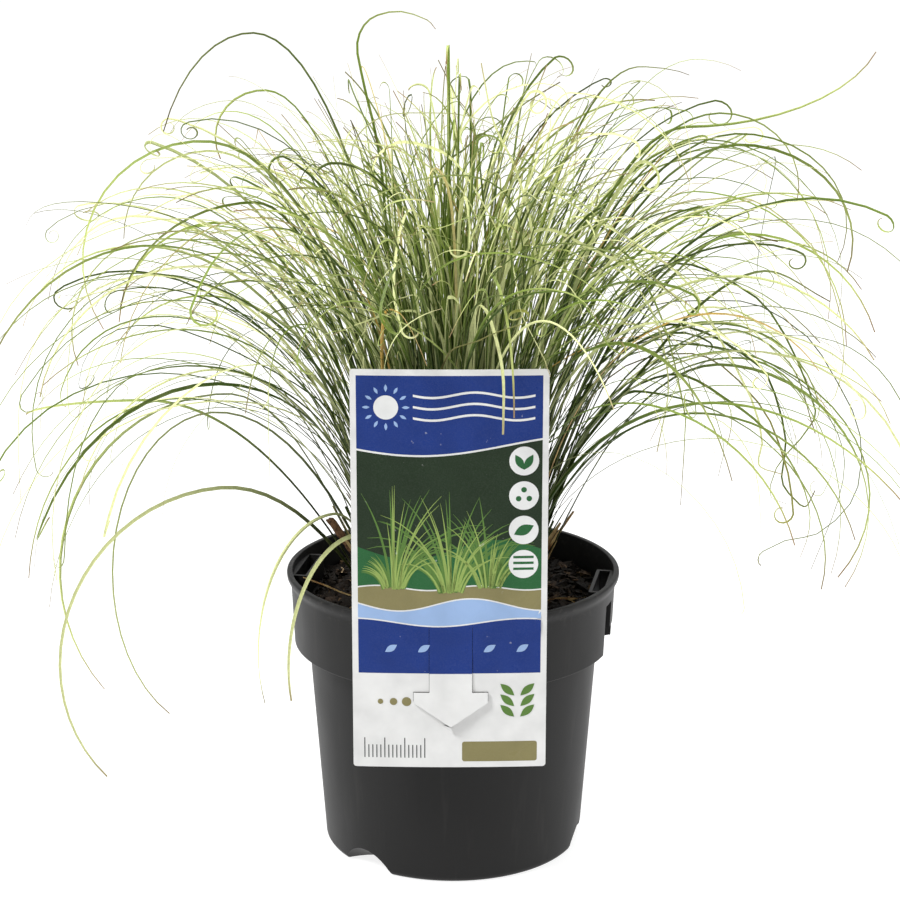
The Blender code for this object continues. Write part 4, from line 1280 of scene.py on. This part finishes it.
# Leaves that stand out in front of the rest
TRACED_LEAVES = (
    Traced(((-2, -14, 106), (2, -26, 190), (-2, -38, 252), (-14, -52, 280), (-20, -58, 276), (-23, -65, 254),
           (-20, -70, 238)), 0.0014, 0.95, curl=150),
    Traced(((-12, -28, 106), (-26, -52, 200), (-27, -64, 240), (-21, -70, 245), (-15, -74, 237),
           (-10, -79, 226)), 0.0013, 0.50, dead=0.85),
    Traced(((6, -20, 106), (6, -38, 200), (8, -52, 240), (12, -64, 245), (16, -72, 236), (19, -78, 221),
           (19, -79, 199)), 0.0020, 0.92),
    Traced(((-10, -26, 106), (-8, -54, 190), (-3, -66, 226), (9, -76, 235), (16, -78, 239), (26, -77, 242)),
           0.0013, 0.60, dead=0.20, curl=400),
    Traced(((-6, -20, 106), (-4, -40, 200), (-3, -58, 243), (-1, -62, 249), (2, -58, 246), (3, -55, 240)),
           0.0016, 0.78),
    Traced(((2, -14, 106), (2, -30, 200), (2, -42, 270), (4, -50, 286), (6, -55, 279), (6, -58, 268)), 0.0011,
           0.85, curl=200),
    Traced(((16, -16, 106), (16, -28, 200), (17, -40, 265), (20, -50, 283), (21, -58, 269), (24, -66, 255),
           (26, -70, 244), (34, -74, 229), (37, -76, 221)), 0.0013, 0.97),
    Traced(((4, -24, 106), (-2, -44, 215), (-12, -56, 246), (-20, -58, 248), (-26, -60, 245), (-36, -66, 234),
           (-44, -70, 218)), 0.0013, 0.88),
    Traced(((0, -22, 106), (-4, -40, 205), (-11, -50, 236), (-19, -54, 242), (-37, -60, 238),
           (-47, -62, 234)), 0.0011, 0.80),
    Traced(((-14, -16, 106), (-22, -36, 190), (-26, -40, 219), (-30, -44, 235), (-35, -48, 247),
           (-44, -50, 250)), 0.0012, 0.50, dead=0.9),
    Traced(((-16, -8, 106), (-16, -20, 210), (-8, -20, 283), (5, -12, 299), (18, -6, 308), (30, 0, 316),
           (43, 5, 323)), 0.0013, 0.05),
    Traced(((-14, -10, 106), (-32, -16, 220), (-33, -18, 285), (-25, -20, 301), (-12, -24, 302),
           (1, -30, 296), (14, -38, 277), (19, -42, 266)), 0.0015, 0.90),
    Traced(((-20, -4, 106), (-40, -8, 230), (-42, -9, 290), (-31, -10, 310), (-8, -12, 313), (6, -14, 312),
           (18, -16, 308), (36, -20, 298)), 0.0011, 0.95),
    Traced(((26, -12, 106), (36, -18, 210), (32, -20, 263), (25, -20, 291), (16, -18, 310), (11, -15, 333)),
           0.0022, 0.88),
    Traced(((6, -10, 106), (14, -12, 220), (10, -10, 297), (2, -8, 317), (-6, -5, 333)), 0.0014, 0.08),
    Traced(((-2, -14, 106), (-3, -18, 220), (-2, -20, 307), (-3, -18, 334)), 0.0013, 0.25),
    Traced(((-8, -4, 106), (-24, -8, 230), (-29, -8, 292), (-36, -8, 326), (-38, -6, 340), (-33, -5, 349),
           (-22, -4, 352), (-11, -4, 349), (-7, -4, 345)), 0.0012, 0.35),
    Traced(((26, -12, 106), (39, -20, 157), (73, -22, 206), (99, -24, 238), (124, -26, 252), (150, -28, 240)),
           0.0018, 0.0),
    Traced(((22, -14, 106), (46, -22, 172), (80, -26, 214), (108, -28, 229), (134, -30, 216),
           (146, -30, 186)), 0.0016, 0.12),
    Traced(((28, -6, 106), (52, -10, 180), (82, -12, 238), (108, -14, 264), (130, -16, 262)), 0.0015, 0.05),
    Traced(((26, -8, 106), (52, -14, 180), (86, -20, 208), (114, -22, 196), (130, -22, 182), (141, -22, 166),
           (146, -22, 152), (146, -22, 141), (143, -22, 131)), 0.0012, 0.25),
    Traced(((24, -6, 106), (60, -12, 220), (110, -16, 238), (140, -18, 226), (155, -20, 206), (164, -20, 189),
           (167, -20, 173), (164, -20, 155), (151, -20, 141), (138, -20, 138), (128, -20, 133)), 0.0011, 0.02,
           curl=120),
    Traced(((22, -4, 106), (64, -8, 210), (112, -10, 216), (140, -12, 204), (153, -14, 190), (160, -14, 176),
           (161, -14, 164), (158, -14, 149), (149, -14, 123)), 0.0013, 0.05),
    Traced(((28, -8, 106), (56, -12, 196), (96, -16, 216), (124, -18, 196), (136, -20, 170), (140, -20, 150)),
           0.0009, 0.60, dead=0.25, curl=300),
    Traced(((22, -2, 106), (60, -4, 250), (110, -6, 278), (142, -8, 262), (156, -8, 236), (160, -8, 212),
           (157, -8, 196)), 0.0011, 0.70, dead=0.20, curl=200),
    Traced(((10, -18, 106), (12, -26, 225), (24, -30, 290), (43, -30, 285), (70, -30, 265), (100, -30, 245),
           (131, -30, 218), (151, -30, 196)), 0.0016, 0.95),
    Traced(((12, -16, 106), (16, -20, 230), (31, -20, 281), (59, -20, 270), (92, -20, 248), (108, -20, 222),
           (121, -20, 198), (126, -20, 181), (125, -20, 170), (135, -20, 166)), 0.0012, 0.90),
    Traced(((14, -20, 106), (14, -30, 220), (30, -34, 268), (56, -36, 262), (88, -36, 244), (112, -36, 224)),
           0.0014, 0.92, curl=90),
    Traced(((24, -8, 106), (50, -12, 196), (80, -14, 225), (100, -14, 225), (121, -15, 213), (129, -15, 204),
           (136, -16, 181), (135, -16, 164), (138, -16, 157), (145, -16, 151), (149, -16, 158)), 0.0010,
           0.05),
    Traced(((18, -14, 106), (38, -20, 215), (59, -22, 252), (78, -22, 238), (87, -22, 206), (83, -22, 176)),
           0.0010, 0.85),
    Traced(((18, -16, 106), (44, -22, 225), (63, -24, 261), (82, -24, 236), (93, -24, 197), (94, -24, 184),
           (93, -24, 154)), 0.0010, 0.30),
    Traced(((22, -10, 106), (60, -16, 205), (93, -16, 213), (110, -16, 181), (109, -16, 164)), 0.0009, 0.15),
    Traced(((20, -4, 106), (70, -8, 240), (120, -10, 240), (147, -12, 196), (144, -12, 181), (134, -12, 168),
           (131, -12, 155), (138, -12, 151)), 0.0009, 0.20),
)

# Thin leaves that arch out singly at the two sides
SIDE_LEAVES = (
    Leaf(352, 0.012, 0.075, 0.331, 0.022, 0.006, 60, 0.0011, 0.15),
    Leaf(354, 0.014, 0.097, 0.334, 0.030, 0.024, 35, 0.0009, 0.35),
    Leaf(350, 0.014, 0.074, 0.326, 0.022, 0.034, 110, 0.0011, 0.90),
    Leaf(353, 0.016, 0.115, 0.305, 0.043, 0.037, 112, 0.0009, 0.12),
    Leaf(357, 0.016, 0.107, 0.312, 0.032, 0.030, 100, 0.0009, 0.20),
    Leaf(351, 0.018, 0.101, 0.303, 0.056, 0.057, 104, 0.0010, 0.15),
    Leaf(2, 0.018, 0.106, 0.297, 0.047, 0.056, 85, 0.0011, 0.60),
    Leaf(348, 0.020, 0.099, 0.283, 0.061, 0.062, 88, 0.0010, 0.45),
    Leaf(345, 0.012, 0.048, 0.321, 0.050, 0.045, 75, 0.0011, 0.80),
    Leaf(356, 0.014, 0.054, 0.318, 0.038, 0.034, 80, 0.0012, 0.70),
    Leaf(178, 0.014, 0.088, 0.316, 0.028, 0.020, 70, 0.0009, 0.85),
    Leaf(180, 0.016, 0.098, 0.296, 0.036, 0.036, 90, 0.0010, 0.72),
    Leaf(186, 0.018, 0.084, 0.283, 0.046, 0.022, 60, 0.0010, 0.90),
    Leaf(188, 0.022, 0.081, 0.277, 0.055, 0.050, 80, 0.0013, 0.10),
    Leaf(181, 0.022, 0.095, 0.267, 0.042, 0.045, 85, 0.0012, 0.50),
)

# Dead ones that lie on the mix or lean over the rim
FALLEN_LEAVES = (
    Traced(((30, -18, 107), (38, -22, 112), (46, -24, 114), (52, -29, 112), (50, -35, 111)), 0.0010, 0.5,
           dead=0.75, curl=60, shown=0.45),
    Traced(((33, -12, 107), (42, -16, 111), (50, -19, 112), (55, -17, 112)), 0.0009, 0.5, dead=0.90,
           shown=0.35),
    Traced(((28, -22, 107), (33, -32, 111), (36, -40, 112), (43, -41, 111)), 0.0010, 0.5, dead=0.60,
           shown=0.50),
    Traced(((-30, -6, 107), (-43, -20, 114), (-52, -29, 121), (-61, -36, 127)), 0.0014, 0.3, dead=0.95,
           shown=0.20),
    Traced(((-30, -14, 107), (-38, -24, 112), (-44, -33, 111), (-40, -42, 111)), 0.0010, 0.5, dead=0.80,
           shown=0.30),
)


def smooth(places: list[Vector], steps: int = 8) -> list[Vector]:
    """A flowing line through points, with a number of steps between each two."""
    guide = [2 * places[0] - places[1], *places, 2 * places[-1] - places[-2]]
    line = []
    for before, start, end, after in zip(guide, guide[1:], guide[2:], guide[3:]):
        for step in range(steps):
            share = step / steps
            line.append(0.5 * (2 * start + (end - before) * share
                               + (2 * before - 5 * start + 4 * end - after) * share ** 2
                               + (3 * start - before - 3 * end + after) * share ** 3))
    line.append(places[-1])
    return line


def along(line: list[Vector], spacing: float = 0.0022) -> list[Vector]:
    """Close points along a line, for measuring what it passes."""
    points = []
    for start, end in zip(line, line[1:]):
        count = max(2, math.ceil((end - start).length / spacing))
        points.extend(start.lerp(end, step / count) for step in range(count))
    points.append(line[-1])
    return points


def even(line: list[Vector], count: int, bend_length: float = 0.030) -> list[Vector]:
    """A line again with count segments that share its length and its bends alike."""
    travelled = [0.0]
    heading = None
    for start, end in zip(line, line[1:]):
        ahead = end - start
        bend = 0.0 if heading is None else heading.angle(ahead, 0.0)
        heading = ahead
        travelled.append(travelled[-1] + ahead.length + bend_length * bend)
    points = []
    segment = 0
    for index in range(count + 1):
        wanted = travelled[-1] * index / count
        while segment < len(line) - 2 and travelled[segment + 1] < wanted:
            segment += 1
        part = (wanted - travelled[segment]) / max(1e-9, travelled[segment + 1] - travelled[segment])
        points.append(line[segment].lerp(line[segment + 1], min(1.0, part)))
    return points


@dataclass(frozen=True)
class Clump:
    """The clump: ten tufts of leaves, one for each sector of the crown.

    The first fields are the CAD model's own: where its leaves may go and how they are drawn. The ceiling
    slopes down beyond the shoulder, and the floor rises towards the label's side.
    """

    tufts: int = 10
    solid_leaves: int = 28
    crown_radius: float = 0.039
    crown_foot: float = 0.0968
    crown_top: float = 0.134
    root_height: float = 0.106
    grow_steps: int = 44
    leaf_segments: int = 6
    long_segments: int = 8
    leaf_space: float = 0.0028
    draws: int = 150
    side_clearance: float = 0.0013
    reach: float = 0.178
    ceiling: float = 0.329
    shoulder: float = 0.080
    shoulder_slope: float = 0.38
    floor_left: float = 0.080
    floor_right: float = 0.110
    floor_slope: float = 0.30
    crown_lap: float = 0.001
    rim_space: float = 0.0025
    pot_space: float = 0.0035
    card_space: float = 0.003
    view_slope: float = 0.28
    swept_segments: int = 32
    fine_draws: int = 60
    fine_hang: float = 0.030
    groove: float = 0.10
    keel: float = 0.34
    foot_width: float = 0.72
    foot_widening: float = 2.4
    tip_narrowing: float = 0.58
    facing_spread: float = 35
    twist_spread: float = 110
    dark_share: float = 0.46
    pale_share: float = 0.34
    tones: Range = (0.30, 0.65)
    dead_share: float = 0.03
    dead: Range = (0.3, 0.9)
    broad_share: float = 0.05
    broad: Range = (0.0015, 0.0019)
    curl_share: float = 0.22
    curl_turn: Range = (120, 400)
    curl_tilt: float = 70
    curl_winding: Range = (1.4, 0.6)
    curl_rise: float = 0.02
    solid_curl: Range = (0.0025, 0.0055)
    fine_curl: Range = (0.0020, 0.0050)
    traced_curl: float = 0.0034
    curl_steps: int = 16
    sheaths: int = 34
    sheath_steps: int = 8
    sheath_place: Range = (0.02, 0.86)
    sheath_tilt: float = 16
    sheath_lean: float = 22
    sheath_swing: float = 25
    sheath_twist: float = 60
    sheath_foot: float = 0.004
    sheath_bow: float = 0.004
    sheath_spread: float = 0.010
    sheath_height: Range = (0.018, 0.052)
    sheath_width: Range = (0.0016, 0.0028)
    sheath_tone: Range = (0.1, 0.5)
    sheath_dead: tuple[float, ...] = (0.0, 0.25, 0.6, 0.9)
    # The sheaths show only the foot of the leaf colours, with its painted shade.
    sheath_shown: float = 0.22

    def centre(self, index: int) -> float:
        """The azimuth of a tuft's middle."""
        return index * 360 / self.tufts + 90 % (360 / self.tufts)

    # The CAD model's rule for its leaves, so that the finer ones lie along the same lines

    def long_line(self, leaf: Leaf, steps: int = 48) -> list[Vector]:
        """The midrib of an arched leaf, from root to tip."""
        lean = 0.25 + 0.6 * leaf.root_radius / self.crown_radius
        points = []
        for step in range(steps):
            share = step / steps
            out = (1 - lean) * (1 - math.cos(share * math.pi / 2)) + lean * share
            height = blend(self.root_height, leaf.apex_height, math.sin(share * math.pi / 2))
            points.append((blend(leaf.root_radius, leaf.apex_radius, out), height))
        for step in range(steps + 1):
            angle = math.radians(leaf.turn) * step / steps
            points.append((leaf.apex_radius + leaf.fall_reach * math.sin(angle),
                           leaf.apex_height - leaf.fall_drop * (1 - math.cos(angle))))
        return [round_z(leaf.azimuth, radius, height) for radius, height in points]

    def grown_line(self, draw: random.Random, habit: Habit, centre: float) -> list[Vector]:
        """The midrib of a drawn leaf, grown from its root in short steps."""
        azimuth = centre + draw.uniform(-0.5, 0.5) * 360 / self.tufts
        root = math.sqrt(draw.uniform(habit.root[0] ** 2, habit.root[1] ** 2))
        rise = draw.uniform(*habit.rise)
        droop = draw.uniform(*habit.droop)
        power = draw.uniform(*habit.power)
        length = draw.uniform(*habit.length)
        swing = draw.gauss(0, habit.swing)
        wander = draw.uniform(0, habit.wave)
        waves = 2 * math.pi * draw.uniform(0.8, 2.2)
        phase = draw.uniform(0, 2 * math.pi)
        line = [round_z(azimuth, root, self.root_height)]
        for step in range(self.grow_steps):
            share = (step + 0.5) / self.grow_steps
            turn = waves * share + phase
            climb = math.radians(rise - droop * share ** power + 0.6 * wander * math.cos(turn))
            heading = azimuth + 2 * swing * share ** 1.5 + wander * share * math.sin(turn)
            ahead = round_z(heading, math.cos(climb), math.sin(climb))
            line.append(line[-1] + ahead * (length / self.grow_steps))
        return line

    def in_sector(self, line: Iterable[Vector], centre: float) -> list[Vector]:
        """A line kept inside its tuft's sector, clear of the next tuft's."""
        kept = []
        for point in line:
            radius = max(1e-6, math.hypot(point.x, point.y))
            free = 180 / self.tufts - math.degrees(math.asin(min(1.0, self.side_clearance / radius)))
            own = angle_between(math.degrees(math.atan2(point.y, point.x)), centre)
            kept.append(round_z(centre + max(-free, min(free, own)), radius, point.z))
        return kept

    def is_clear(self, points: Iterable[Vector], hang: float = 0.0) -> bool:
        """Whether a leaf keeps off the pot, the label and the view of it, and inside the plant's form.

        Args:
            points: The leaf's line.
            hang: How much lower than the solid leaves it may hang.

        Returns:
            Whether every point is clear.
        """
        for point in points:
            radius = math.hypot(point.x, point.y)
            top = self.ceiling - self.shoulder_slope * max(0.0, radius - self.shoulder)
            floor = (self.floor_left if point.x < 0 else self.floor_right) - self.floor_slope * point.y - hang
            if max(abs(point.x), abs(point.y)) > self.reach or point.z > top:
                return False
            if point.z < floor and radius > self.crown_radius:
                return False
            over_pot = self.crown_radius - self.crown_lap < radius < LIP_RADIUS + self.pot_space
            if over_pot and point.z < RIM + self.rim_space:
                return False
            ahead = CARD_LOW.y - point.y
            beside = CARD_LOW.x - self.card_space < point.x < CARD_HIGH.x + self.card_space
            low = point.z < CARD_HIGH.z + self.card_space + self.view_slope * max(0.0, ahead)
            if beside and low and ahead > -self.pot_space:
                return False
        return True

    def nearness(self, points: Iterable[Vector], placed: list[Vector]) -> float:
        """How near a leaf comes to those already in its tuft, above the crown."""
        if not placed:
            return self.leaf_space
        tree = kdtree.KDTree(len(placed))
        for index, point in enumerate(placed):
            tree.insert(point, index)
        tree.balance()
        return min((tree.find(point)[2] for point in points if point.z > self.crown_top), default=0.0)

    def roomy_line(self, draw: random.Random, habit: Habit, centre: float,
                   placed: list[Vector]) -> tuple[list[Vector], list[Vector]]:
        """A leaf drawn again until it lies clear, or the roomiest of many draws, fine and coarse."""
        best = None
        for attempt in range(20 * self.draws):
            if best and attempt >= self.draws:
                break
            fine = self.in_sector(self.grown_line(draw, habit, centre), centre)
            coarse = even(fine, self.leaf_segments)
            points = along(coarse)
            if not self.is_clear(points):
                continue
            space = self.nearness(points, placed)
            if best is None or space > best[0]:
                best = (space, fine, coarse)
            if space >= self.leaf_space:
                break
        return best[1], best[2]

    def solid_lines(self, index: int) -> list[tuple[list[Vector], Leaf | Habit]]:
        """The lines of one tuft of the CAD model: the long ones of its sector, then drawn ones."""
        centre = self.centre(index)
        draw = Stream.LINES.draw(index)
        lines = [(self.in_sector(self.long_line(leaf), centre), leaf) for leaf in LONG_LEAVES
                 if abs(angle_between(leaf.azimuth, centre)) <= 180 / self.tufts]
        placed = [point for line, _ in lines for point in along(even(line, self.long_segments))]
        wanted = self.solid_leaves - len(lines)
        habits = [habit for habit in SOLID_HABITS for _ in range(habit.count)]
        for order in range(wanted):
            habit = habits[order * len(habits) // wanted]
            fine, coarse = self.roomy_line(draw, habit, centre, placed)
            placed.extend(along(coarse))
            lines.append((fine, habit))
        return lines

    # The leaves as they are seen, with the finer ones between them

    def curled(self, line: list[Vector], draw: random.Random, radius: float, turn: float) -> list[Vector]:
        """A line with its tip drawn on into a curl that winds tighter."""
        ahead = (line[-1] - line[-2]).normalized()
        before = (line[-6] - line[-7]).normalized()
        axis = before.cross(ahead)
        if axis.length < 1e-6:
            axis = ahead.orthogonal()
        tilt = math.radians(draw.uniform(-self.curl_tilt, self.curl_tilt))
        axis = Quaternion(ahead, tilt) @ axis.normalized()
        wound = math.radians(turn)
        points = list(line)
        for step in range(self.curl_steps):
            tight = blend(*self.curl_winding, step / self.curl_steps)
            ahead = Quaternion(axis, wound / self.curl_steps) @ ahead
            points.append(points[-1] + ahead * radius * tight * wound / self.curl_steps
                          + axis * radius * self.curl_rise)
        return points

    def drawn_tone(self, draw: random.Random) -> float:
        """A tone that is dark, middling or pale in the clump's shares."""
        drawn = draw.random()
        low, high = self.tones
        bright = 1.0 - self.pale_share
        if drawn < self.dark_share:
            return low * drawn / self.dark_share
        if drawn < bright:
            return blend(low, high, (drawn - self.dark_share) / (bright - self.dark_share))
        return blend(high, 1.0, (drawn - bright) / self.pale_share)

    def drawn_death(self, draw: random.Random) -> float:
        """How dead a leaf is: most aren't."""
        return draw.uniform(*self.dead) if draw.random() < self.dead_share else 0.0

    def strand(self, line: list[Vector], draw: random.Random, width: float, dead: float = 0.0,
               tone: float | None = None, shown: float = 1.0) -> Strand:
        """A leaf's line with its facing, its twist and its tone, which is drawn where none is given."""
        out = Vector((line[-1].x - line[0].x, line[-1].y - line[0].y, 0.0)).normalized()
        facing = math.radians(draw.gauss(0, self.facing_spread))
        side = Quaternion((0, 0, 1), facing) @ Vector((-out.y, out.x, 0.0))
        drawn = self.drawn_tone(draw)
        return Strand(line, side, width, drawn if tone is None else tone, dead,
                      draw.gauss(0, self.twist_spread), shown)

    def solid_strands(self, index: int) -> list[Strand]:
        """The leaves of one tuft that stand for the CAD model's."""
        draw = Stream.LOOKS.draw(index)
        strands = []
        for line, kind in self.solid_lines(index):
            if isinstance(kind, Leaf):
                strands.append(self.strand(line, draw, kind.width, tone=kind.tone))
                continue
            if draw.random() < self.curl_share:
                curl = self.curled(line, draw, draw.uniform(*self.solid_curl), draw.uniform(*self.curl_turn))
                if self.is_clear(curl[len(line):]):
                    line = curl
            broad = draw.random() < self.broad_share
            width = draw.uniform(*(self.broad if broad else kind.width))
            strands.append(self.strand(line, draw, width, self.drawn_death(draw)))
        return strands

    def traced_strands(self, index: int) -> list[Strand]:
        """The leaves of one tuft that stand out singly, and those that have fallen."""
        draw = Stream.TRACED.draw(index)
        centre = self.centre(index)
        half = 180 / self.tufts
        strands = [self.strand(self.long_line(leaf), draw, leaf.width, tone=leaf.tone) for leaf in SIDE_LEAVES
                   if -half <= angle_between(leaf.azimuth, centre) < half]
        for leaf in TRACED_LEAVES + FALLEN_LEAVES:
            x, y, _ = leaf.points[0]
            if not -half <= angle_between(math.degrees(math.atan2(y, x)), centre) < half:
                continue
            line = smooth([Vector(point) * 0.001 for point in leaf.points])
            if leaf.curl:
                line = self.curled(line, draw, self.traced_curl, leaf.curl)
            strands.append(self.strand(line, draw, leaf.width, leaf.dead, leaf.tone, leaf.shown))
        return strands

    def fine_strands(self, index: int) -> list[Strand]:
        """The fine leaves of one tuft, each drawn again until it lies clear."""
        centre = self.centre(index)
        draw = Stream.FINE.draw(index)
        strands = []
        for habit in (habit for habit in FINE_HABITS for _ in range(habit.count)):
            for _ in range(self.fine_draws):
                line = self.grown_line(draw, habit, centre)
                if draw.random() < self.curl_share:
                    line = self.curled(line, draw, draw.uniform(*self.fine_curl),
                                       draw.uniform(*self.curl_turn))
                if self.is_clear(line[2:], self.fine_hang):
                    dead = self.drawn_death(draw)
                    strands.append(self.strand(line, draw, draw.uniform(*habit.width), dead))
                    break
        return strands

    def sheath_strands(self, index: int) -> list[Strand]:
        """Short, broad sheaths and broken leaf bases that pack the crown."""
        centre = self.centre(index)
        draw = Stream.SHEATHS.draw(index)
        strands = []
        for _ in range(self.sheaths):
            root = self.crown_radius * math.sqrt(draw.uniform(*self.sheath_place))
            azimuth = centre + draw.uniform(-0.5, 0.5) * 360 / self.tufts
            start = round_z(azimuth, root, self.crown_foot + self.sheath_foot)
            lean = draw.uniform(0, self.sheath_tilt) + self.sheath_lean * root / self.crown_radius
            way = azimuth + draw.gauss(0, self.sheath_swing)
            upward = round_z(way, math.sin(math.radians(lean)), math.cos(math.radians(lean)))
            ahead = upward * draw.uniform(*self.sheath_height)
            shares = [step / self.sheath_steps for step in range(self.sheath_steps + 1)]
            line = [start + ahead * share + round_z(way, self.sheath_bow * share ** 2, 0.0)
                    for share in shares]
            wide = self.crown_radius + self.sheath_spread
            if not self.is_clear(line) or any(point.xy.length >= wide and point.z <= RIM for point in line):
                continue
            dead = draw.choice(self.sheath_dead)
            side = Vector((-math.sin(way), math.cos(way), 0.0))
            width, tone = draw.uniform(*self.sheath_width), draw.uniform(*self.sheath_tone)
            twist = draw.gauss(0, self.sheath_twist)
            strands.append(Strand(line, side, width, tone, dead, twist, self.sheath_shown))
        return strands

    def line_mesh(self, name: str, strands: Iterable[Strand]) -> Thing:
        """The lines of many leaves as one mesh of edges, with each point's width, facing and place."""
        points: list[Vector] = []
        edges: list[tuple[int, int]] = []
        rows: dict[str, list[float]] = {"width": [], "along": [], "tone": [], "dead": [], "facing": []}
        for strand in strands:
            line = even(strand.line, self.swept_segments)
            side = strand.side
            edges += [(len(points) + order, len(points) + order + 1) for order in range(self.swept_segments)]
            for order, point in enumerate(line):
                share = order / self.swept_segments
                ahead = (line[min(order + 1, self.swept_segments)] - line[max(order - 1, 0)]).normalized()
                side = (side - ahead * side.dot(ahead)).normalized()
                narrow = min(1.0, self.foot_width + self.foot_widening * share)
                rows["width"].append(strand.width * narrow * (1.0 - self.tip_narrowing * share ** 4))
                rows["along"].append(strand.shown * share)
                rows["tone"].append(strand.tone)
                rows["dead"].append(strand.dead)
                rows["facing"].extend(Quaternion(ahead, math.radians(strand.twist) * share) @ side)
                points.append(point)
        mesh = bpy.data.meshes.new(name)
        mesh.from_pydata(points, edges, [])
        for key, values in rows.items():
            kind, part = ("FLOAT_VECTOR", "vector") if key == "facing" else ("FLOAT", "value")
            mesh.attributes.new(key, kind, "POINT").data.foreach_set(part, values)
        return add_object(name, mesh)

    def build(self) -> list[Thing]:
        """Sweep the leaves of the ten tufts along their lines."""
        tree = blade_tree()
        values = {"Groove": self.groove, "Keel": self.keel, "Finish": LeafSkin().material()}
        pieces = []
        for index in range(self.tufts):
            strands = (self.solid_strands(index) + self.traced_strands(index) + self.fine_strands(index)
                       + self.sheath_strands(index))
            name = f"tuft_{index + 1:02d}"
            piece = grow(self.line_mesh(f"{name}_leaves", strands), tree, values)
            shade(piece, 35)
            hand_in(piece, [name])
            pieces.append(piece)
        return pieces


@dataclass(frozen=True)
class ShootBase:
    """The woody base of an old shoot, broken off, that leans out of the crown on the left."""

    foot: Place = (-0.0325, 0.0118, 0.1080)
    top: Place = (-0.0525, 0.0190, 0.1345)
    radius: float = 0.0017
    sides: int = 14
    rings: int = 16
    knob_size: float = 0.0022
    rough: float = 0.00035
    splinter_size: float = 0.0011
    splinter: float = 0.0022
    stops: tuple[tuple[float, Colour], ...] = ((0.0, (0.150, 0.080, 0.040)), (0.10, (0.240, 0.145, 0.080)))

    def build(self) -> Thing:
        """Make a bar knobbly and its top ragged."""
        foot, top = Vector(self.foot), Vector(self.top)
        length = (top - foot).length
        axis = (top - foot).normalized()
        stub = bar("shoot_base", self.radius, foot, top, self.sides)
        with opened(stub.data) as shape:
            lengths = [edge for edge in shape.edges if edge.calc_length() > length / 2]
            bmesh.ops.subdivide_edges(shape, edges=lengths, cuts=self.rings)
            for vert in shape.verts:
                height = (vert.co - foot).dot(axis)
                outward = (vert.co - foot - axis * height).normalized()
                vert.co += outward * noise.noise(vert.co / self.knob_size) * self.rough
                if height > length - 0.0001:
                    vert.co += axis * self.splinter * noise.noise(vert.co / self.splinter_size)
            triangulate_caps(shape)
        shade(stub, 40)
        dress(stub, BarkLitter("shoot bark", self.stops).material())
        hand_in(stub, ["tuft_05"])
        return stub


# Studio


class Lamp(NamedTuple):
    """A square soft light: its place, the length of its side, and its power in watts."""

    name: str
    place: Place
    size: float
    power: float


LAMPS = (
    Lamp("key", (-1.3, -0.9, 1.9), 0.5, 46),
    Lamp("fill", (1.8, -0.3, 1.1), 1.2, 14),
    Lamp("back", (0.2, 1.1, 2.0), 1.2, 22),
)


@dataclass(frozen=True)
class Studio:
    """The pale floor, the soft lights, the white surround and the camera at the photograph's angle."""

    camera_place: Place = (-0.0013, -0.9985, 0.4496)
    camera_pitch: float = 15.6
    lens: float = 99.56
    sensor: float = 36.0
    aim: Place = (0.0, 0.0, 0.18)
    floor_size: float = 12.0
    floor_grey: float = 0.28
    floor_glow: float = 0.85
    front_glow: float = 0.09
    side_glow: float = 0.66

    def floor(self) -> None:
        """A wide, plain, pale floor."""
        bpy.ops.mesh.primitive_plane_add(size=self.floor_size)
        floor = bpy.context.active_object
        floor.name = "floor"
        material = bpy.data.materials.new("pale floor")
        material.use_nodes = True
        shader = material.node_tree.nodes["Principled BSDF"].inputs
        for name, value in (("Base Color", (*[self.floor_grey] * 3, 1.0)), ("Roughness", 0.8),
                            ("Emission Color", (1.0, 1.0, 1.0, 1.0)), ("Emission Strength", self.floor_glow)):
            shader[name].default_value = value
        dress(floor, material)

    def light(self, lamp: Lamp) -> None:
        """Set a lamp up, aimed at the plant."""
        data = bpy.data.lights.new(lamp.name, "AREA")
        data.size = lamp.size
        data.energy = lamp.power
        thing = add_object(lamp.name, data)
        thing.location = lamp.place
        thing.rotation_euler = (Vector(self.aim) - Vector(lamp.place)).to_track_quat("-Z", "Y").to_euler()

    def surround(self) -> bpy.types.World:
        """A white surround that is dim on the label's side and bright at the sides and behind."""
        world = bpy.data.worlds.new("white surround")
        world.use_nodes = True
        kit = NodeKit(world.node_tree)
        background = kit.tree.nodes["Background"].inputs
        background["Color"].default_value = (1.0, 1.0, 1.0, 1.0)
        place = kit.tree.nodes.new("ShaderNodeTexCoord").outputs["Generated"]
        depth = kit.add("ShaderNodeSeparateXYZ", {"Vector": place}).node.outputs["Y"]
        glow = kit.add("ShaderNodeMapRange", {
            "Value": depth, "From Min": -0.95, "From Max": 0.05, "To Min": self.front_glow,
            "To Max": self.side_glow}, interpolation_type="SMOOTHSTEP")
        kit.join(glow, background["Strength"])
        return world

    def build(self) -> None:
        """Set up the floor, the lights, the white surround and the camera."""
        self.floor()
        for lamp in LAMPS:
            self.light(lamp)
        scene = bpy.context.scene
        scene.world = self.surround()
        scene.view_settings.view_transform = "Standard"
        data = bpy.data.cameras.new("camera")
        data.lens = self.lens
        data.sensor_width = self.sensor
        camera = add_object("camera", data)
        camera.location = self.camera_place
        camera.rotation_euler = (math.radians(90 - self.camera_pitch), 0.0, 0.0)
        scene.camera = camera


def main() -> None:
    """Build and dress every piece of the plant and its pot, in order."""
    logging.basicConfig(level=logging.INFO, format="%(message)s")
    pot = Pot()
    pot.build()
    PottingMix(pot).build()
    Label().build()
    Clump().build()
    ShootBase().build()
    Studio().build()


if __name__ == "__main__":
    main()
